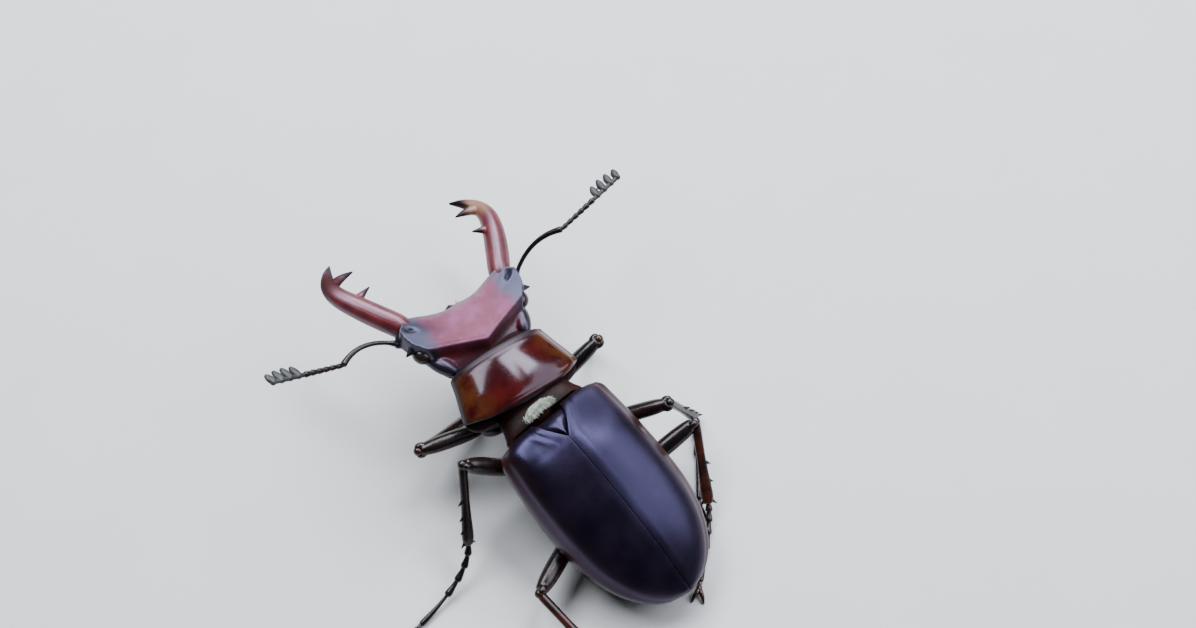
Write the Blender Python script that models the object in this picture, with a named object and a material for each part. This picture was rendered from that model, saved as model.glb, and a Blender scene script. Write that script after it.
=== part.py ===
"""Male stag beetle, life size, standing still on its six feet.

The head points along -Y, the beetle's left is +X and the floor is z = 0.
Each plate of the shell and each length of a limb is an object of its own.
Lengths below are in millimetres and angles in degrees.
"""

import bmesh
import bpy
from math import asin, cos, degrees, pi, radians, sin, sqrt, tan
from mathutils import Matrix, Vector

MM = 0.001
GAP = 0.2
SIDES = {"left": 1, "right": -1}

# How the trunk, chest and head are carried.
TRUNK_HEIGHT = 10.0
TRUNK_PITCH = 12.0
TRUNK_ROLL = 2.9
CHEST_PLACE = (0.0, 1.95, -0.8)
CHEST_TURN = (-7.0, 2.0, -7.7)
HEAD_PLACE = (0.0, 6.55, -0.85)
HEAD_TURN = (3.0, 15.8, -4.5)

# Wing cases. Heights are measured from the wing-case base.
CASE_BASE = 0.25
CASE_BASE_BOW = 0.35
CASE_LENGTH = 18.2
CASE_HALF_WIDTH = 6.0
CASE_SHOULDER = 5.4
CASE_WIDEST = 0.43
CASE_TAIL_POWER = 2.35
CASE_THICKNESS = 0.7
CASE_STATIONS = (0.0, 0.02, 0.06, 0.16, 0.32, 0.5, 0.66, 0.78, 0.87, 0.94, 0.985)
CASE_RIDGE = ((0.0, -0.45), (0.03, 0.0), (0.1, 0.35), (0.3, 0.55), (0.5, 0.35), (0.7, -0.5),
              (0.86, -1.65), (1.0, -3.1))
CASE_EDGE = ((0.0, -1.8), (0.1, -2.6), (0.3, -3.3), (0.5, -3.8), (0.8, -3.7), (1.0, -3.8))
ARCH_STEPS = 6
ARCH_BULGE = 0.88
ARCH_CROWN = 0.82
KEEL_WIDTH_POWER = 0.7
KEEL_DEPTH_POWER = 0.85

# Trunk under the wing cases.
BELLY = ((0.0, -5.0), (0.12, -6.2), (0.35, -6.5), (0.5, -6.3), (0.75, -5.8), (0.95, -4.9))
THORAX_END = 0.5
THORAX_STATIONS = (0.0, 0.06, 0.16, 0.32, THORAX_END)
ABDOMEN_END = 0.955
ABDOMEN_RINGS = 5
RING_STEP = 0.12
COLLAR_AHEAD = (0.85, 1.6)
COLLAR_HALF_WIDTH = (3.9, 3.5)
COLLAR_TOP = (-1.0, -1.15)
COLLAR_BOTTOM = (-4.4, -4.0)
COLLAR_EDGE_DROP = 1.2
SCUTELLUM_BASE = 0.2
SCUTELLUM_TIP = 2.0
SCUTELLUM_HALF_WIDTH = 1.3
SCUTELLUM_TOP = 0.42
SCUTELLUM_FLOOR = -0.75
SCUTELLUM_BEVEL = 0.15

# Chest shield and breast plate.
CHEST_REAR = 0.3
CHEST_LENGTH = 5.45
CHEST_HALF_WIDTH = ((0.0, 4.85), (0.08, 5.35), (0.18, 5.6), (0.4, 5.35), (0.7, 4.85), (1.0, 4.45))
CHEST_RIDGE = ((0.0, -0.05), (0.08, 0.4), (0.35, 0.6), (0.8, 0.45), (1.0, 0.1))
CHEST_EDGE = ((0.0, -1.95), (1.0, -2.3))
CHEST_BELLY = ((0.0, -4.0), (0.3, -5.0), (0.7, -4.7), (1.0, -3.8))
CHEST_REAR_BOW = 0.3
CHEST_FRONT_BOW = 0.12
CHEST_STATIONS = (0.0, 0.07, 0.18, 0.35, 0.6, 0.85, 1.0)

# Head.
HEAD_HALF_WIDTH = ((0.0, 4.0), (0.12, 4.2), (0.33, 4.65), (0.51, 5.2), (0.66, 5.7), (0.9, 6.0), (1.0, 5.95))
HEAD_FRONT = ((0.0, 4.95), (1.6, 4.92), (2.8, 5.2), (3.8, 5.5), (4.8, 5.6), (6.0, 4.7))
HEAD_REAR = -0.5
HEAD_COLUMNS = 12
HEAD_ROWS = 6
PLATEAU_MIDDLE = -0.15
PLATEAU_RISE = 0.95
CREST_MIDDLE = 0.45
CREST_SWEEP = 1.7
CREST_STEP = 0.35
CREST_SLOPE = 0.45
CHEEK_LEVEL = -1.0
CHEEK_BULGE = 0.12
JAW_LEVEL = ((0.0, -3.3), (0.5, -3.1), (1.0, -2.0))
JAW_NARROWING = 0.79
EYE_PLACE = (5.05, 2.75, -1.0)
EYE_RADII = (0.85, 0.95, 0.75)

# Mandibles: centre line, half width and half depth.
MANDIBLE_BAR = (
    (5.0, 4.9, -0.5, 0.9, 0.85),
    (5.25, 5.8, -0.25, 1.0, 1.05),
    (6.25, 7.5, 0.05, 1.04, 1.0),
    (7.2, 9.3, 0.25, 0.98, 0.95),
    (7.85, 11.0, 0.25, 0.86, 0.82),
    (7.85, 12.4, 0.1, 0.7, 0.64),
    (7.2, 13.7, -0.15, 0.46, 0.44),
    (6.4, 14.7, -0.5, 0.2, 0.2),
)
MANDIBLE_TINE = ((7.7, 12.2, 0.2, 0.5, 0.45), (6.4, 12.5, 0.35, 0.34, 0.3), (5.4, 12.5, 0.4, 0.14, 0.14))
MANDIBLE_TOOTH = ((7.2, 9.6, 0.4, 0.5, 0.45), (6.1, 9.8, 0.7, 0.3, 0.28), (5.35, 10.0, 0.85, 0.12, 0.12))

# Antennae, as elbow and tip seen from the head, and the mouthparts.
SCAPE_FOOT = (6.35, 4.85, -0.75)
ELBOW = {"left": (11.3, 5.0, 0.0), "right": (10.9, 4.5, 2.7)}
CLUB_TIP = {"left": (18.2, 5.0, 3.1), "right": (18.2, 5.3, 4.7)}
SCAPE_RADIUS = 0.28
SCAPE_BOW = (0.0, 1.6, 0.4)
SCAPE_STEPS = 3
FUNICLE_BEADS = 5
FUNICLE_BEAD = ((0.08, 0.25), (0.75, 0.31))
FUNICLE_SHARE = 0.52
ELBOW_GAP = 0.45
CLUB_PLATES = 4
CLUB_REACH = 0.55
CLUB_STALK = 0.27
CLUB_GAP = 0.35
PALP = ((1.9, 3.5, -2.7, 0.3, 0.3), (2.5, 4.9, -2.9, 0.26, 0.26), (2.2, 6.1, -2.6, 0.32, 0.28))
LABRUM_LENGTH = 1.1
LABRUM_HALF_WIDTH = 1.1
LABRUM_DEPTH = 0.9
LABRUM_DROP = (0.9, 0.5)

# Legs. A heading is measured from straight ahead towards the leg's own side.
HIP_PLACE = {"fore": (2.2, 1.1, -5.2), "mid": (2.9, -1.8, -5.9), "hind": (1.9, -7.4, -6.0)}
COXA_SHIFT = {"fore": (0.3, 0.0, 0.35), "mid": (0.2, 0.0, 0.35), "hind": (0.8, 0.1, 0.2)}
COXA_RADII = {"fore": (1.5, 1.0, 1.0), "mid": (1.2, 1.0, 0.95), "hind": (1.9, 0.8, 0.8)}
FEMUR_LENGTH = {"fore": 7.15, "mid": 7.85, "hind": 8.3}
TIBIA_LENGTH = {"fore": 6.8, "mid": 7.4, "hind": 7.05}
TARSUS_LENGTH = {"fore": 5.1, "mid": 7.95, "hind": 7.0}
FEMUR_TURN = {
    "left_fore": (72, 5.5), "left_mid": (65, 42), "left_hind": (111, 7),
    "right_fore": (92, 24), "right_mid": (126, 25.5), "right_hind": (96, 18.5),
}
TIBIA_TURN = {
    "left_fore": (-81, -30), "left_mid": (141, -51), "left_hind": (185, -20),
    "right_fore": (24, -69.5), "right_mid": (97, -66), "right_hind": (210.5, -34),
}
TARSUS_HEADING = {
    "left_fore": -76, "left_mid": 105, "left_hind": 143,
    "right_fore": -85, "right_mid": 220, "right_hind": 229,
}
TARSUS_BEND = 0.4
TARSUS_START = 0.03
FEMUR_SIZE = ((0.05, 0.35, 0.35), (0.2, 0.45, 0.42), (0.34, 0.68, 0.62), (0.6, 0.78, 0.7), (0.84, 0.72, 0.64),
              (0.93, 0.58, 0.52))
TIBIA_SIZE = ((0.0, 0.36, 0.34), (0.1, 0.4, 0.34), (0.5, 0.4, 0.34), (0.92, 0.55, 0.4), (1.0, 0.46, 0.34))
TIBIA_SPINES = {"fore": (0.3, 0.45, 0.6, 0.75, 0.9), "mid": (0.45, 0.65, 0.82), "hind": (0.5, 0.72)}
SPINE_LENGTH = 0.55
SPINE_ROOT = 0.22
SPINE_TIP = 0.07
SPINE_SLANT = 0.6
SPUR_LENGTH = 0.75
SPUR_PLACE = 0.955
SPUR_SLANT = 1.3
TARSUS_JOINTS = 5
TARSUS_NARROW = 0.25
TARSUS_WIDE = 0.36
LAST_JOINT_WIDE = 0.29
LAST_JOINT_LENGTH = 1.9
TOE_HEIGHT = 0.27
CLAW_GAP = 0.45
CLAW_LENGTH = 1.25
CLAW_SPREAD = 32
CLAW_SIZE = (0.24, 0.22, 0.14)
CLAW_ARCH = 0.25
CLAW_TIP_HEIGHT = 0.12

# Colours, roughness of the shell.
FINISHES = {
    "wing_case": ((0.012, 0.012, 0.022), 0.28),
    "chest": ((0.16, 0.022, 0.01), 0.25),
    "head": ((0.24, 0.045, 0.035), 0.35),
    "mandible": ((0.28, 0.05, 0.02), 0.28),
    "limb": ((0.02, 0.008, 0.006), 0.25),
    "belly": ((0.035, 0.01, 0.006), 0.3),
    "eye": ((0.01, 0.008, 0.008), 0.12),
}


def clear_scene():
    """Start from nothing."""
    for thing in list(bpy.data.objects):
        bpy.data.objects.remove(thing, do_unlink=True)


def at(left, ahead, up):
    """A point given as millimetres to the left, ahead and up."""
    return Vector((left, -ahead, up)) * MM


def frame_matrix(place, turn):
    """Where a carried frame sits in its parent: first roll, then pitch, then yaw."""
    yaw, pitch, roll = (radians(angle) for angle in turn)
    spin = Matrix.Rotation(yaw, 4, "Z") @ Matrix.Rotation(pitch, 4, "X") @ Matrix.Rotation(roll, 4, "Y")
    return Matrix.Translation(at(*place)) @ spin


def make_frames():
    """The empties that carry the trunk, chest and head."""
    frames = {"stance": bpy.data.objects.new("stance", None)}
    plan = (
        ("trunk", "stance", (0, 0, TRUNK_HEIGHT), (0, -TRUNK_PITCH, TRUNK_ROLL)),
        ("chest", "trunk", CHEST_PLACE, CHEST_TURN),
        ("head", "chest", HEAD_PLACE, HEAD_TURN),
    )
    for name, parent, place, turn in plan:
        frames[name] = bpy.data.objects.new(name + "_frame", None)
        frames[name].parent = frames[parent]
        frames[name].matrix_basis = frame_matrix(place, turn)
    for empty in frames.values():
        bpy.context.collection.objects.link(empty)
    bpy.context.view_layer.update()
    return frames


def make_materials():
    """One shell finish for each kind of plate."""
    made = {}
    for name, (colour, roughness) in FINISHES.items():
        material = bpy.data.materials.new(name)
        material.use_nodes = True
        shader = material.node_tree.nodes["Principled BSDF"]
        shader.inputs["Base Color"].default_value = (*colour, 1.0)
        shader.inputs["Roughness"].default_value = roughness
        shader.inputs["Metallic"].default_value = 0.0
        made[name] = material
    return made


def along(keys, t):
    """The value at t of a smooth curve through (t, value) keys."""
    last = len(keys) - 2
    i = max(k for k in range(last + 1) if k == 0 or keys[k][0] <= t)
    (t0, v0), (t1, v1) = keys[i], keys[i + 1]
    before = keys[max(i - 1, 0)]
    after = keys[min(i + 2, last + 1)]
    share = (t - t0) / (t1 - t0)
    rise0 = (v1 - before[1]) / (t1 - before[0]) * (t1 - t0)
    rise1 = (after[1] - v0) / (after[0] - t0) * (t1 - t0)
    s2, s3 = share * share, share ** 3
    levels = (2 * s3 - 3 * s2 + 1) * v0 + (3 * s2 - 2 * s3) * v1
    return levels + (s3 - 2 * s2 + share) * rise0 + (s3 - s2) * rise1


def loop_of(bm, points):
    """A closed loop of edges through the points."""
    verts = [bm.verts.new(point) for point in points]
    pairs = zip(verts, verts[1:] + verts[:1])
    return [bm.edges.new(pair) for pair in pairs]


def skin(bm, loops):
    """Cover a row of loops and close both ends."""
    for first, second in zip(loops, loops[1:]):
        bmesh.ops.bridge_loops(bm, edges=first + second)
    for end in (loops[0], loops[-1]):
        bmesh.ops.contextual_create(bm, geom=end)


def finish(bm, name, parent, material, smooth=True):
    """Turn a bmesh into a named object on its frame."""
    bmesh.ops.triangulate(bm, faces=[face for face in bm.faces if len(face.verts) > 4])
    bmesh.ops.recalc_face_normals(bm, faces=bm.faces)
    mesh = bpy.data.meshes.new(name)
    bm.to_mesh(mesh)
    bm.free()
    if smooth:
        mesh.shade_smooth()
        mesh.set_sharp_from_angle(angle=radians(40))
    thing = bpy.data.objects.new(name, mesh)
    bpy.context.collection.objects.link(thing)
    thing.parent = parent
    if material:
        mesh.materials.append(material)
    return thing


def as_guide(thing):
    """Mark an object as a cutter that isn't part of the beetle."""
    thing.hide_render = True
    thing.display_type = "WIRE"
    return thing


def combine(thing, other, operation):
    """Cut another object out of this one, or join it on."""
    step = thing.modifiers.new(operation.lower(), "BOOLEAN")
    step.operation = operation
    step.object = other
    step.solver = "EXACT"


def tube_loops(bm, stations, sides, up_hint, rounded=True):
    """Elliptic loops across a path of (point, half width, half depth) stations, with rounded or flat ends."""
    points = [station[0] for station in stations]
    loops = []
    for i, (point, width, depth) in enumerate(stations):
        heading = (points[min(i + 1, len(points) - 1)] - points[max(i - 1, 0)]).normalized()
        across = heading.cross(up_hint).normalized()
        up = across.cross(heading)
        rows = []
        if rounded and i == 0:
            rows = [(-0.6, 0.66)]
        rows.append((0.0, 1.0))
        if rounded and i == len(stations) - 1:
            rows.append((0.6, 0.66))
        for shift, scale in rows:
            centre = point + heading * shift * min(width, depth)
            turn = [2 * pi * k / sides for k in range(sides)]
            loops.append(loop_of(bm, [
                centre + across * width * scale * cos(a) + up * depth * scale * sin(a) for a in turn
            ]))
    return loops


def tube(name, stations, parent, material, sides=8, up_hint=Vector((0, 0, 1)), grow=0.0):
    """A limb: a closed tube through stations whose sizes are in metres."""
    bm = bmesh.new()
    grown = [(point, width + grow, depth + grow) for point, width, depth in stations]
    skin(bm, tube_loops(bm, grown, sides, up_hint))
    return finish(bm, name, parent, material)


def ball(name, place, radii, parent, material, grow=0.0):
    """An ellipsoid, as an eye or the hip of a leg."""
    bm = bmesh.new()
    size = Matrix.Diagonal([(radius + grow) * MM for radius in radii] + [1.0])
    spot = Matrix.Translation(place) @ size
    bmesh.ops.create_uvsphere(bm, u_segments=10, v_segments=6, radius=1.0, matrix=spot)
    return finish(bm, name, parent, material)


def arch(half_width, ridge, edge, steps=ARCH_STEPS):
    """Half a roof line from the ridge out to the edge, as (across, up)."""
    line = []
    for k in range(steps + 1):
        angle = pi / 2 * k / steps
        across = half_width * sin(angle) ** ARCH_BULGE
        up = edge + (ridge - edge) * max(cos(angle), 0.0) ** ARCH_CROWN
        line.append((across, up))
    return line


def keel(half_width, edge, bottom, steps=ARCH_STEPS):
    """Half an underside line from the edge in to the middle, as (across, up)."""
    line = []
    for k in range(steps + 1):
        angle = pi / 2 * k / steps
        across = half_width * max(cos(angle), 0.0) ** KEEL_WIDTH_POWER
        line.append((across, edge + (bottom - edge) * sin(angle) ** KEEL_DEPTH_POWER))
    return line


def mirrored(half):
    """A whole closed section from its half, which runs from the top middle to the bottom middle."""
    return half + [(-across, up) for across, up in reversed(half[1:-1])]


def case_half_width(t):
    """Half the width over the wing cases at a share t of their length."""
    if t < CASE_WIDEST:
        short = (CASE_WIDEST - t) / CASE_WIDEST
        width = CASE_HALF_WIDTH - (CASE_HALF_WIDTH - CASE_SHOULDER) * short ** 2
        corner = max(0.0, 1 - t / 0.05)
        return width * (1 - 0.09 * corner ** 2)
    s = (t - CASE_WIDEST) / (1 - CASE_WIDEST)
    return CASE_HALF_WIDTH * sqrt(1 - s ** CASE_TAIL_POWER)


def case_ahead(t, share=0.0):
    """How far ahead a share t of the wing-case length lies; the base bows forward on each case."""
    return CASE_BASE - t * CASE_LENGTH + CASE_BASE_BOW * sin(pi * min(share, 1.0)) * max(0.0, 1 - t / 0.12)


def wing_case(side, frames, materials):
    """One wing case: a curved shell that is thickest towards its tip."""
    bm = bmesh.new()
    loops = []
    for t in CASE_STATIONS:
        width = case_half_width(t)
        ridge = along(CASE_RIDGE, t)
        edge = along(CASE_EDGE, t)
        hollow = max(1 - CASE_THICKNESS / width, 0.45)
        inner_ridge = edge + (ridge - edge) * max(1 - CASE_THICKNESS / (ridge - edge), 0.3)
        outer = arch(width, ridge, edge)
        inner = arch(width * hollow, inner_ridge, edge)
        line = outer + inner[::-1]
        points = [
            at(SIDES[side] * max(across, GAP / 2), case_ahead(t, across / width), up) for across, up in line
        ]
        loops.append(loop_of(bm, points))
    skin(bm, loops)
    return finish(bm, "wing_case_" + side, frames["trunk"], materials["wing_case"])


def trunk_half(t):
    """Half a section of the trunk under the wing cases."""
    width = case_half_width(t) - CASE_THICKNESS - GAP
    edge = along(CASE_EDGE, t)
    ridge = along(CASE_RIDGE, t) - CASE_THICKNESS - GAP
    roof = arch(width, ridge, edge)
    return roof + keel(width, edge, along(BELLY, t))[1:]


def thorax(frames, materials):
    """Middle and hind thorax, with the collar that enters the chest."""
    bm = bmesh.new()
    loops = []
    collar = zip(COLLAR_AHEAD[::-1], COLLAR_HALF_WIDTH[::-1], COLLAR_TOP[::-1], COLLAR_BOTTOM[::-1])
    for ahead, width, top, bottom in collar:
        edge = top - COLLAR_EDGE_DROP
        half = arch(width, top, edge) + keel(width, edge, bottom)[1:]
        loops.append(loop_of(bm, [at(across, ahead, up) for across, up in mirrored(half)]))
    for t in THORAX_STATIONS:
        half = trunk_half(t)
        width = max(across for across, up in half)
        points = [at(across, case_ahead(t, abs(across) / width), up) for across, up in mirrored(half)]
        loops.append(loop_of(bm, points))
    skin(bm, loops)
    return finish(bm, "thorax", frames["trunk"], materials["belly"])


def abdomen(frames, materials):
    """Five belly rings, each a little smaller at its front edge than the one before."""
    bm = bmesh.new()
    loops = []
    start = THORAX_END + GAP / CASE_LENGTH
    ring = (ABDOMEN_END - start) / ABDOMEN_RINGS
    for k in range(ABDOMEN_RINGS):
        for share, shrink in ((0.0, RING_STEP), (0.97, 0.0)):
            t = start + ring * (k + share)
            width = case_half_width(t) - CASE_THICKNESS - GAP
            half = trunk_half(t)
            scale = 1 - shrink / width
            points = [at(across * scale, case_ahead(t), up * scale) for across, up in mirrored(half)]
            loops.append(loop_of(bm, points))
    skin(bm, loops)
    return finish(bm, "abdomen", frames["trunk"], materials["belly"])


def scutellum(name, frames, material, grow=0.0, reach=0.0):
    """The small three-sided plate between the wing-case bases."""
    bm = bmesh.new()
    outline = (
        (SCUTELLUM_HALF_WIDTH, 0.0), (0.8 * SCUTELLUM_HALF_WIDTH, 0.35), (0.0, 1.0),
        (-0.8 * SCUTELLUM_HALF_WIDTH, 0.35), (-SCUTELLUM_HALF_WIDTH, 0.0),
    )
    span = SCUTELLUM_BASE + SCUTELLUM_TIP
    loops = []
    for up in (SCUTELLUM_FLOOR - reach, SCUTELLUM_TOP - SCUTELLUM_BEVEL + reach):
        points = []
        for x, s in outline:
            hand = (x > 0) - (x < 0)
            points.append(at(x + grow * hand, SCUTELLUM_BASE - s * span + grow * (1 - 3 * s), up))
        loops.append(loop_of(bm, points))
    if not reach:
        loops.append(loop_of(bm, [
            at(x * 0.8, SCUTELLUM_BASE - SCUTELLUM_BEVEL - s * (span - 3 * SCUTELLUM_BEVEL), SCUTELLUM_TOP)
            for x, s in outline
        ]))
    skin(bm, loops)
    return finish(bm, name, frames["trunk"], material)


def chest_point(across, s, up):
    """A point of the chest, with its bowed rear and front margins."""
    width = along(CHEST_HALF_WIDTH, s)
    share = min(1.0, abs(across) / width) ** 2
    bow = CHEST_REAR_BOW * share * (1 - s) ** 2 - CHEST_FRONT_BOW * share * s ** 2
    return at(across, CHEST_REAR + s * CHEST_LENGTH + bow, up)


def chest_half(name, half_of, frames, material):
    """The chest shield or the breast plate, from its half section at each station."""
    bm = bmesh.new()
    loops = []
    for s in CHEST_STATIONS:
        half = half_of(s)
        loops.append(loop_of(bm, [chest_point(across, s, up) for across, up in mirrored(half)]))
    skin(bm, loops)
    return finish(bm, name, frames["chest"], material)


def chest_shield_section(s):
    """Half a section of the chest shield: a roof and a flat underside."""
    edge = along(CHEST_EDGE, s)
    return arch(along(CHEST_HALF_WIDTH, s), along(CHEST_RIDGE, s), edge) + [(0.0, edge - 0.05)]


def breast_section(s):
    """Half a section of the breast plate: a flat top and a keel."""
    edge = along(CHEST_EDGE, s) - 0.05 - GAP
    width = along(CHEST_HALF_WIDTH, s) - 0.15
    return [(0.0, edge)] + keel(width, edge, along(CHEST_BELLY, s))


def head_front(across):
    """How far ahead the front margin of the head runs."""
    return along(HEAD_FRONT, min(abs(across), HEAD_FRONT[-1][0]))


def head_top(across, ahead):
    """Height of the top of the head: a dished plateau, and a step down behind its crest."""
    plateau = PLATEAU_MIDDLE + PLATEAU_RISE * (across / 6.0) ** 2 * sqrt(max(ahead, 0.0) / HEAD_FRONT[0][1])
    crest = CREST_MIDDLE + CREST_SWEEP * (abs(across) / 4.9) ** 0.75
    behind = max(0.0, crest - ahead)
    return plateau - CREST_STEP * min(1.0, behind / 0.4) - CREST_SLOPE * behind


def head_point(u, v, level):
    """A point of the head for u across, v from rear to front, and level 0 top, 1 cheek, 2 jaw."""
    width = along(HEAD_HALF_WIDTH, v)
    across = u * width
    ahead = HEAD_REAR + v * (head_front(across) - HEAD_REAR)
    up = head_top(across, ahead)
    if level == 1:
        across += u * CHEEK_BULGE
        up = min(CHEEK_LEVEL, up - 0.5)
    if level == 2:
        across *= JAW_NARROWING
        up = along(JAW_LEVEL, v)
        ahead = HEAD_REAR + v * (ahead - HEAD_REAR)
    ahead -= up * tan(radians(HEAD_TURN[1])) * (1 - v) ** 2
    return at(across, ahead, up)


def head(frames, materials):
    """The head capsule, from a flat sheet drawn down into a closed box and then shaped."""
    bm = bmesh.new()
    bmesh.ops.create_grid(bm, x_segments=HEAD_COLUMNS, y_segments=HEAD_ROWS, size=1.0)
    spots = {vert: (vert.co.x, (1 - vert.co.y) / 2) for vert in bm.verts}
    levels = {vert: 0 for vert in bm.verts}
    under = bm.faces[:]
    for level in (1, 2):
        drawn = bmesh.ops.extrude_face_region(bm, geom=under, use_keep_orig=level == 1)["geom"]
        made = [item for item in drawn if isinstance(item, bmesh.types.BMVert)]
        for vert in made:
            spots[vert] = (vert.co.x, (1 - vert.co.y) / 2)
            levels[vert] = level
        if level == 2:
            bmesh.ops.delete(bm, geom=under, context="FACES_ONLY")
        under = [item for item in drawn if isinstance(item, bmesh.types.BMFace)]
    for vert in bm.verts:
        u, v = spots[vert]
        vert.co = head_point(u, v, levels[vert])
    loose = [vert for vert in bm.verts if not vert.link_faces]
    bmesh.ops.delete(bm, geom=loose, context="VERTS")
    return finish(bm, "head", frames["head"], materials["head"])


def stations_from(rows, side):
    """Tube stations in metres from rows of (left, ahead, up, half width, half depth)."""
    return [
        (at(SIDES[side] * left, ahead, up), width * MM, depth * MM)
        for left, ahead, up, width, depth in rows
    ]


def mandible(side, frames, materials):
    """A forked jaw with one inner tooth."""
    bar = tube("mandible_" + side, stations_from(MANDIBLE_BAR, side), frames["head"], materials["mandible"])
    for label, rows in (("tine", MANDIBLE_TINE), ("tooth", MANDIBLE_TOOTH)):
        prong = tube(f"mandible_{label}_{side}", stations_from(rows, side), frames["head"], None, 6)
        combine(bar, as_guide(prong), "UNION")
    return bar


def labrum(frames, materials):
    """The pointed lip between the mandibles."""
    bm = bmesh.new()
    foot = head_front(0.0) + GAP
    loops = []
    for share, width in ((0.0, 1.0), (0.5, 0.72), (1.0, 0.12)):
        half_width = LABRUM_HALF_WIDTH * width
        top = PLATEAU_MIDDLE - LABRUM_DROP[0] - LABRUM_DROP[1] * share
        bottom = top - LABRUM_DEPTH * (1 - 0.4 * share)
        square = ((1, top), (-1, top), (-1, bottom), (1, bottom))
        loops.append(loop_of(bm, [at(x * half_width, foot + share * LABRUM_LENGTH, up) for x, up in square]))
    skin(bm, loops)
    return finish(bm, "labrum", frames["head"], materials["limb"], smooth=False)


def bend(start, middle, end, t):
    """The point at t of a soft curve from start to end that is drawn towards the middle."""
    return start * (1 - t) ** 2 + middle * 2 * t * (1 - t) + end * t * t


def scape(side, frames, materials):
    """The long first length of an antenna."""
    foot = at(SIDES[side] * SCAPE_FOOT[0], *SCAPE_FOOT[1:])
    elbow = at(SIDES[side] * ELBOW[side][0], *ELBOW[side][1:])
    middle = (foot + elbow) / 2 + at(*SCAPE_BOW)
    end = elbow - (elbow - middle).normalized() * ELBOW_GAP * MM
    stations = []
    for k in range(SCAPE_STEPS + 1):
        share = k / SCAPE_STEPS
        radius = SCAPE_RADIUS * (0.95 + 0.35 * share) * MM
        stations.append((bend(foot, middle, end, share), radius, radius))
    return tube("scape_" + side, stations, frames["head"], materials["limb"])


def funicle(side, frames, materials):
    """The beaded middle length of an antenna."""
    elbow = at(SIDES[side] * ELBOW[side][0], *ELBOW[side][1:])
    tip = at(SIDES[side] * CLUB_TIP[side][0], *CLUB_TIP[side][1:])
    reach = (tip - elbow) * FUNICLE_SHARE
    stations = []
    for k in range(FUNICLE_BEADS):
        for share, radius in FUNICLE_BEAD:
            stations.append((elbow + reach * (k + share) / FUNICLE_BEADS, radius * MM, radius * MM))
    return tube("funicle_" + side, stations, frames["head"], materials["limb"], 6)


def club(side, frames, materials):
    """The comb-like end of an antenna, its plates reaching out to one side."""
    elbow = at(SIDES[side] * ELBOW[side][0], *ELBOW[side][1:])
    tip = at(SIDES[side] * CLUB_TIP[side][0], *CLUB_TIP[side][1:])
    line = tip - elbow
    heading = line.normalized()
    foot = elbow + line * FUNICLE_SHARE + heading * CLUB_GAP * MM
    pitch = (line.length * (1 - FUNICLE_SHARE) - CLUB_GAP * MM) / CLUB_PLATES
    ahead = at(0, 1, 0).normalized()
    reach_way = (ahead - heading * ahead.dot(heading)).normalized()
    lift = heading.cross(reach_way)
    bm = bmesh.new()
    loops = []
    for k in range(CLUB_PLATES):
        plate = CLUB_REACH * (0.75 + 0.25 * sin(pi * (k + 1) / CLUB_PLATES))
        for share, out in ((0.0, 0.0), (0.3, 1.0), (0.72, 1.0), (0.9, 0.0)):
            centre = foot + heading * pitch * (k + share) + reach_way * plate * out * MM
            width = (CLUB_STALK + plate * out) * MM
            depth = (CLUB_STALK + 0.1 * out) * MM
            angles = [2 * pi * n / 6 for n in range(6)]
            loops.append(loop_of(bm, [
                centre + reach_way * width * cos(a) + lift * depth * sin(a) for a in angles
            ]))
    skin(bm, loops)
    return finish(bm, "club_" + side, frames["head"], materials["limb"])


def way(side, heading, rise):
    """The direction of a leg's length, in the floor frame."""
    turn, lift = radians(heading), radians(rise)
    return Vector((SIDES[side] * sin(turn) * cos(lift), -cos(turn) * cos(lift), sin(lift)))


def leg_points(side, pair, frames):
    """Hip, knee, ankle and toe of a leg, in the floor frame."""
    body = frames["chest"] if pair == "fore" else frames["trunk"]
    left, ahead, up = HIP_PLACE[pair]
    leg = f"{side}_{pair}"
    hip = body.matrix_world @ at(SIDES[side] * left, ahead, up)
    knee = hip + way(side, *FEMUR_TURN[leg]) * FEMUR_LENGTH[pair] * MM
    ankle = knee + way(side, *TIBIA_TURN[leg]) * TIBIA_LENGTH[pair] * MM
    length = TARSUS_LENGTH[pair] * MM
    drop = degrees(asin((TOE_HEIGHT * MM - ankle.z) / length))
    toe = ankle + way(side, TARSUS_HEADING[leg], drop) * length
    return hip, knee, ankle, toe


def sized(start, end, sizes):
    """Tube stations between two points from rows of (share, half width, half depth)."""
    return [(start.lerp(end, share), width * MM, depth * MM) for share, width, depth in sizes]


def coxa(side, pair, frames, materials, grow=0.0):
    """The hip of a leg, an ellipsoid set across the body."""
    body = frames["chest"] if pair == "fore" else frames["trunk"]
    left, ahead, up = (hip + shift for hip, shift in zip(HIP_PLACE[pair], COXA_SHIFT[pair]))
    name = f"coxa_{side}_{pair}" + ("_room" if grow else "")
    return ball(name, at(SIDES[side] * left, ahead, up), COXA_RADII[pair], body, materials["limb"], grow=grow)


def spines(name, shin, sideways, rows, length, frames):
    """Short thorns along a shin, and the two spurs at its end."""
    start, end = shin
    heading = (end - start).normalized()
    bm = bmesh.new()
    thorns = [(share, 1, SPINE_LENGTH, SPINE_SLANT) for share in rows]
    thorns += [(SPUR_PLACE, hand, SPUR_LENGTH, SPUR_SLANT) for hand in (1, -1)]
    for share, hand, long, slant in thorns:
        foot = start + heading * share * length
        root = foot + sideways * hand * 0.2 * MM
        tip = foot + (sideways * hand * 0.3 + (sideways * hand + heading * slant).normalized() * long) * MM
        stations = [(root, SPINE_ROOT * MM, SPINE_ROOT * MM), (tip, SPINE_TIP * MM, SPINE_TIP * MM)]
        skin(bm, tube_loops(bm, stations, 4, Vector((0.1, 0.2, 1)).normalized(), rounded=False))
    return as_guide(finish(bm, name, frames["stance"], None))


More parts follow.
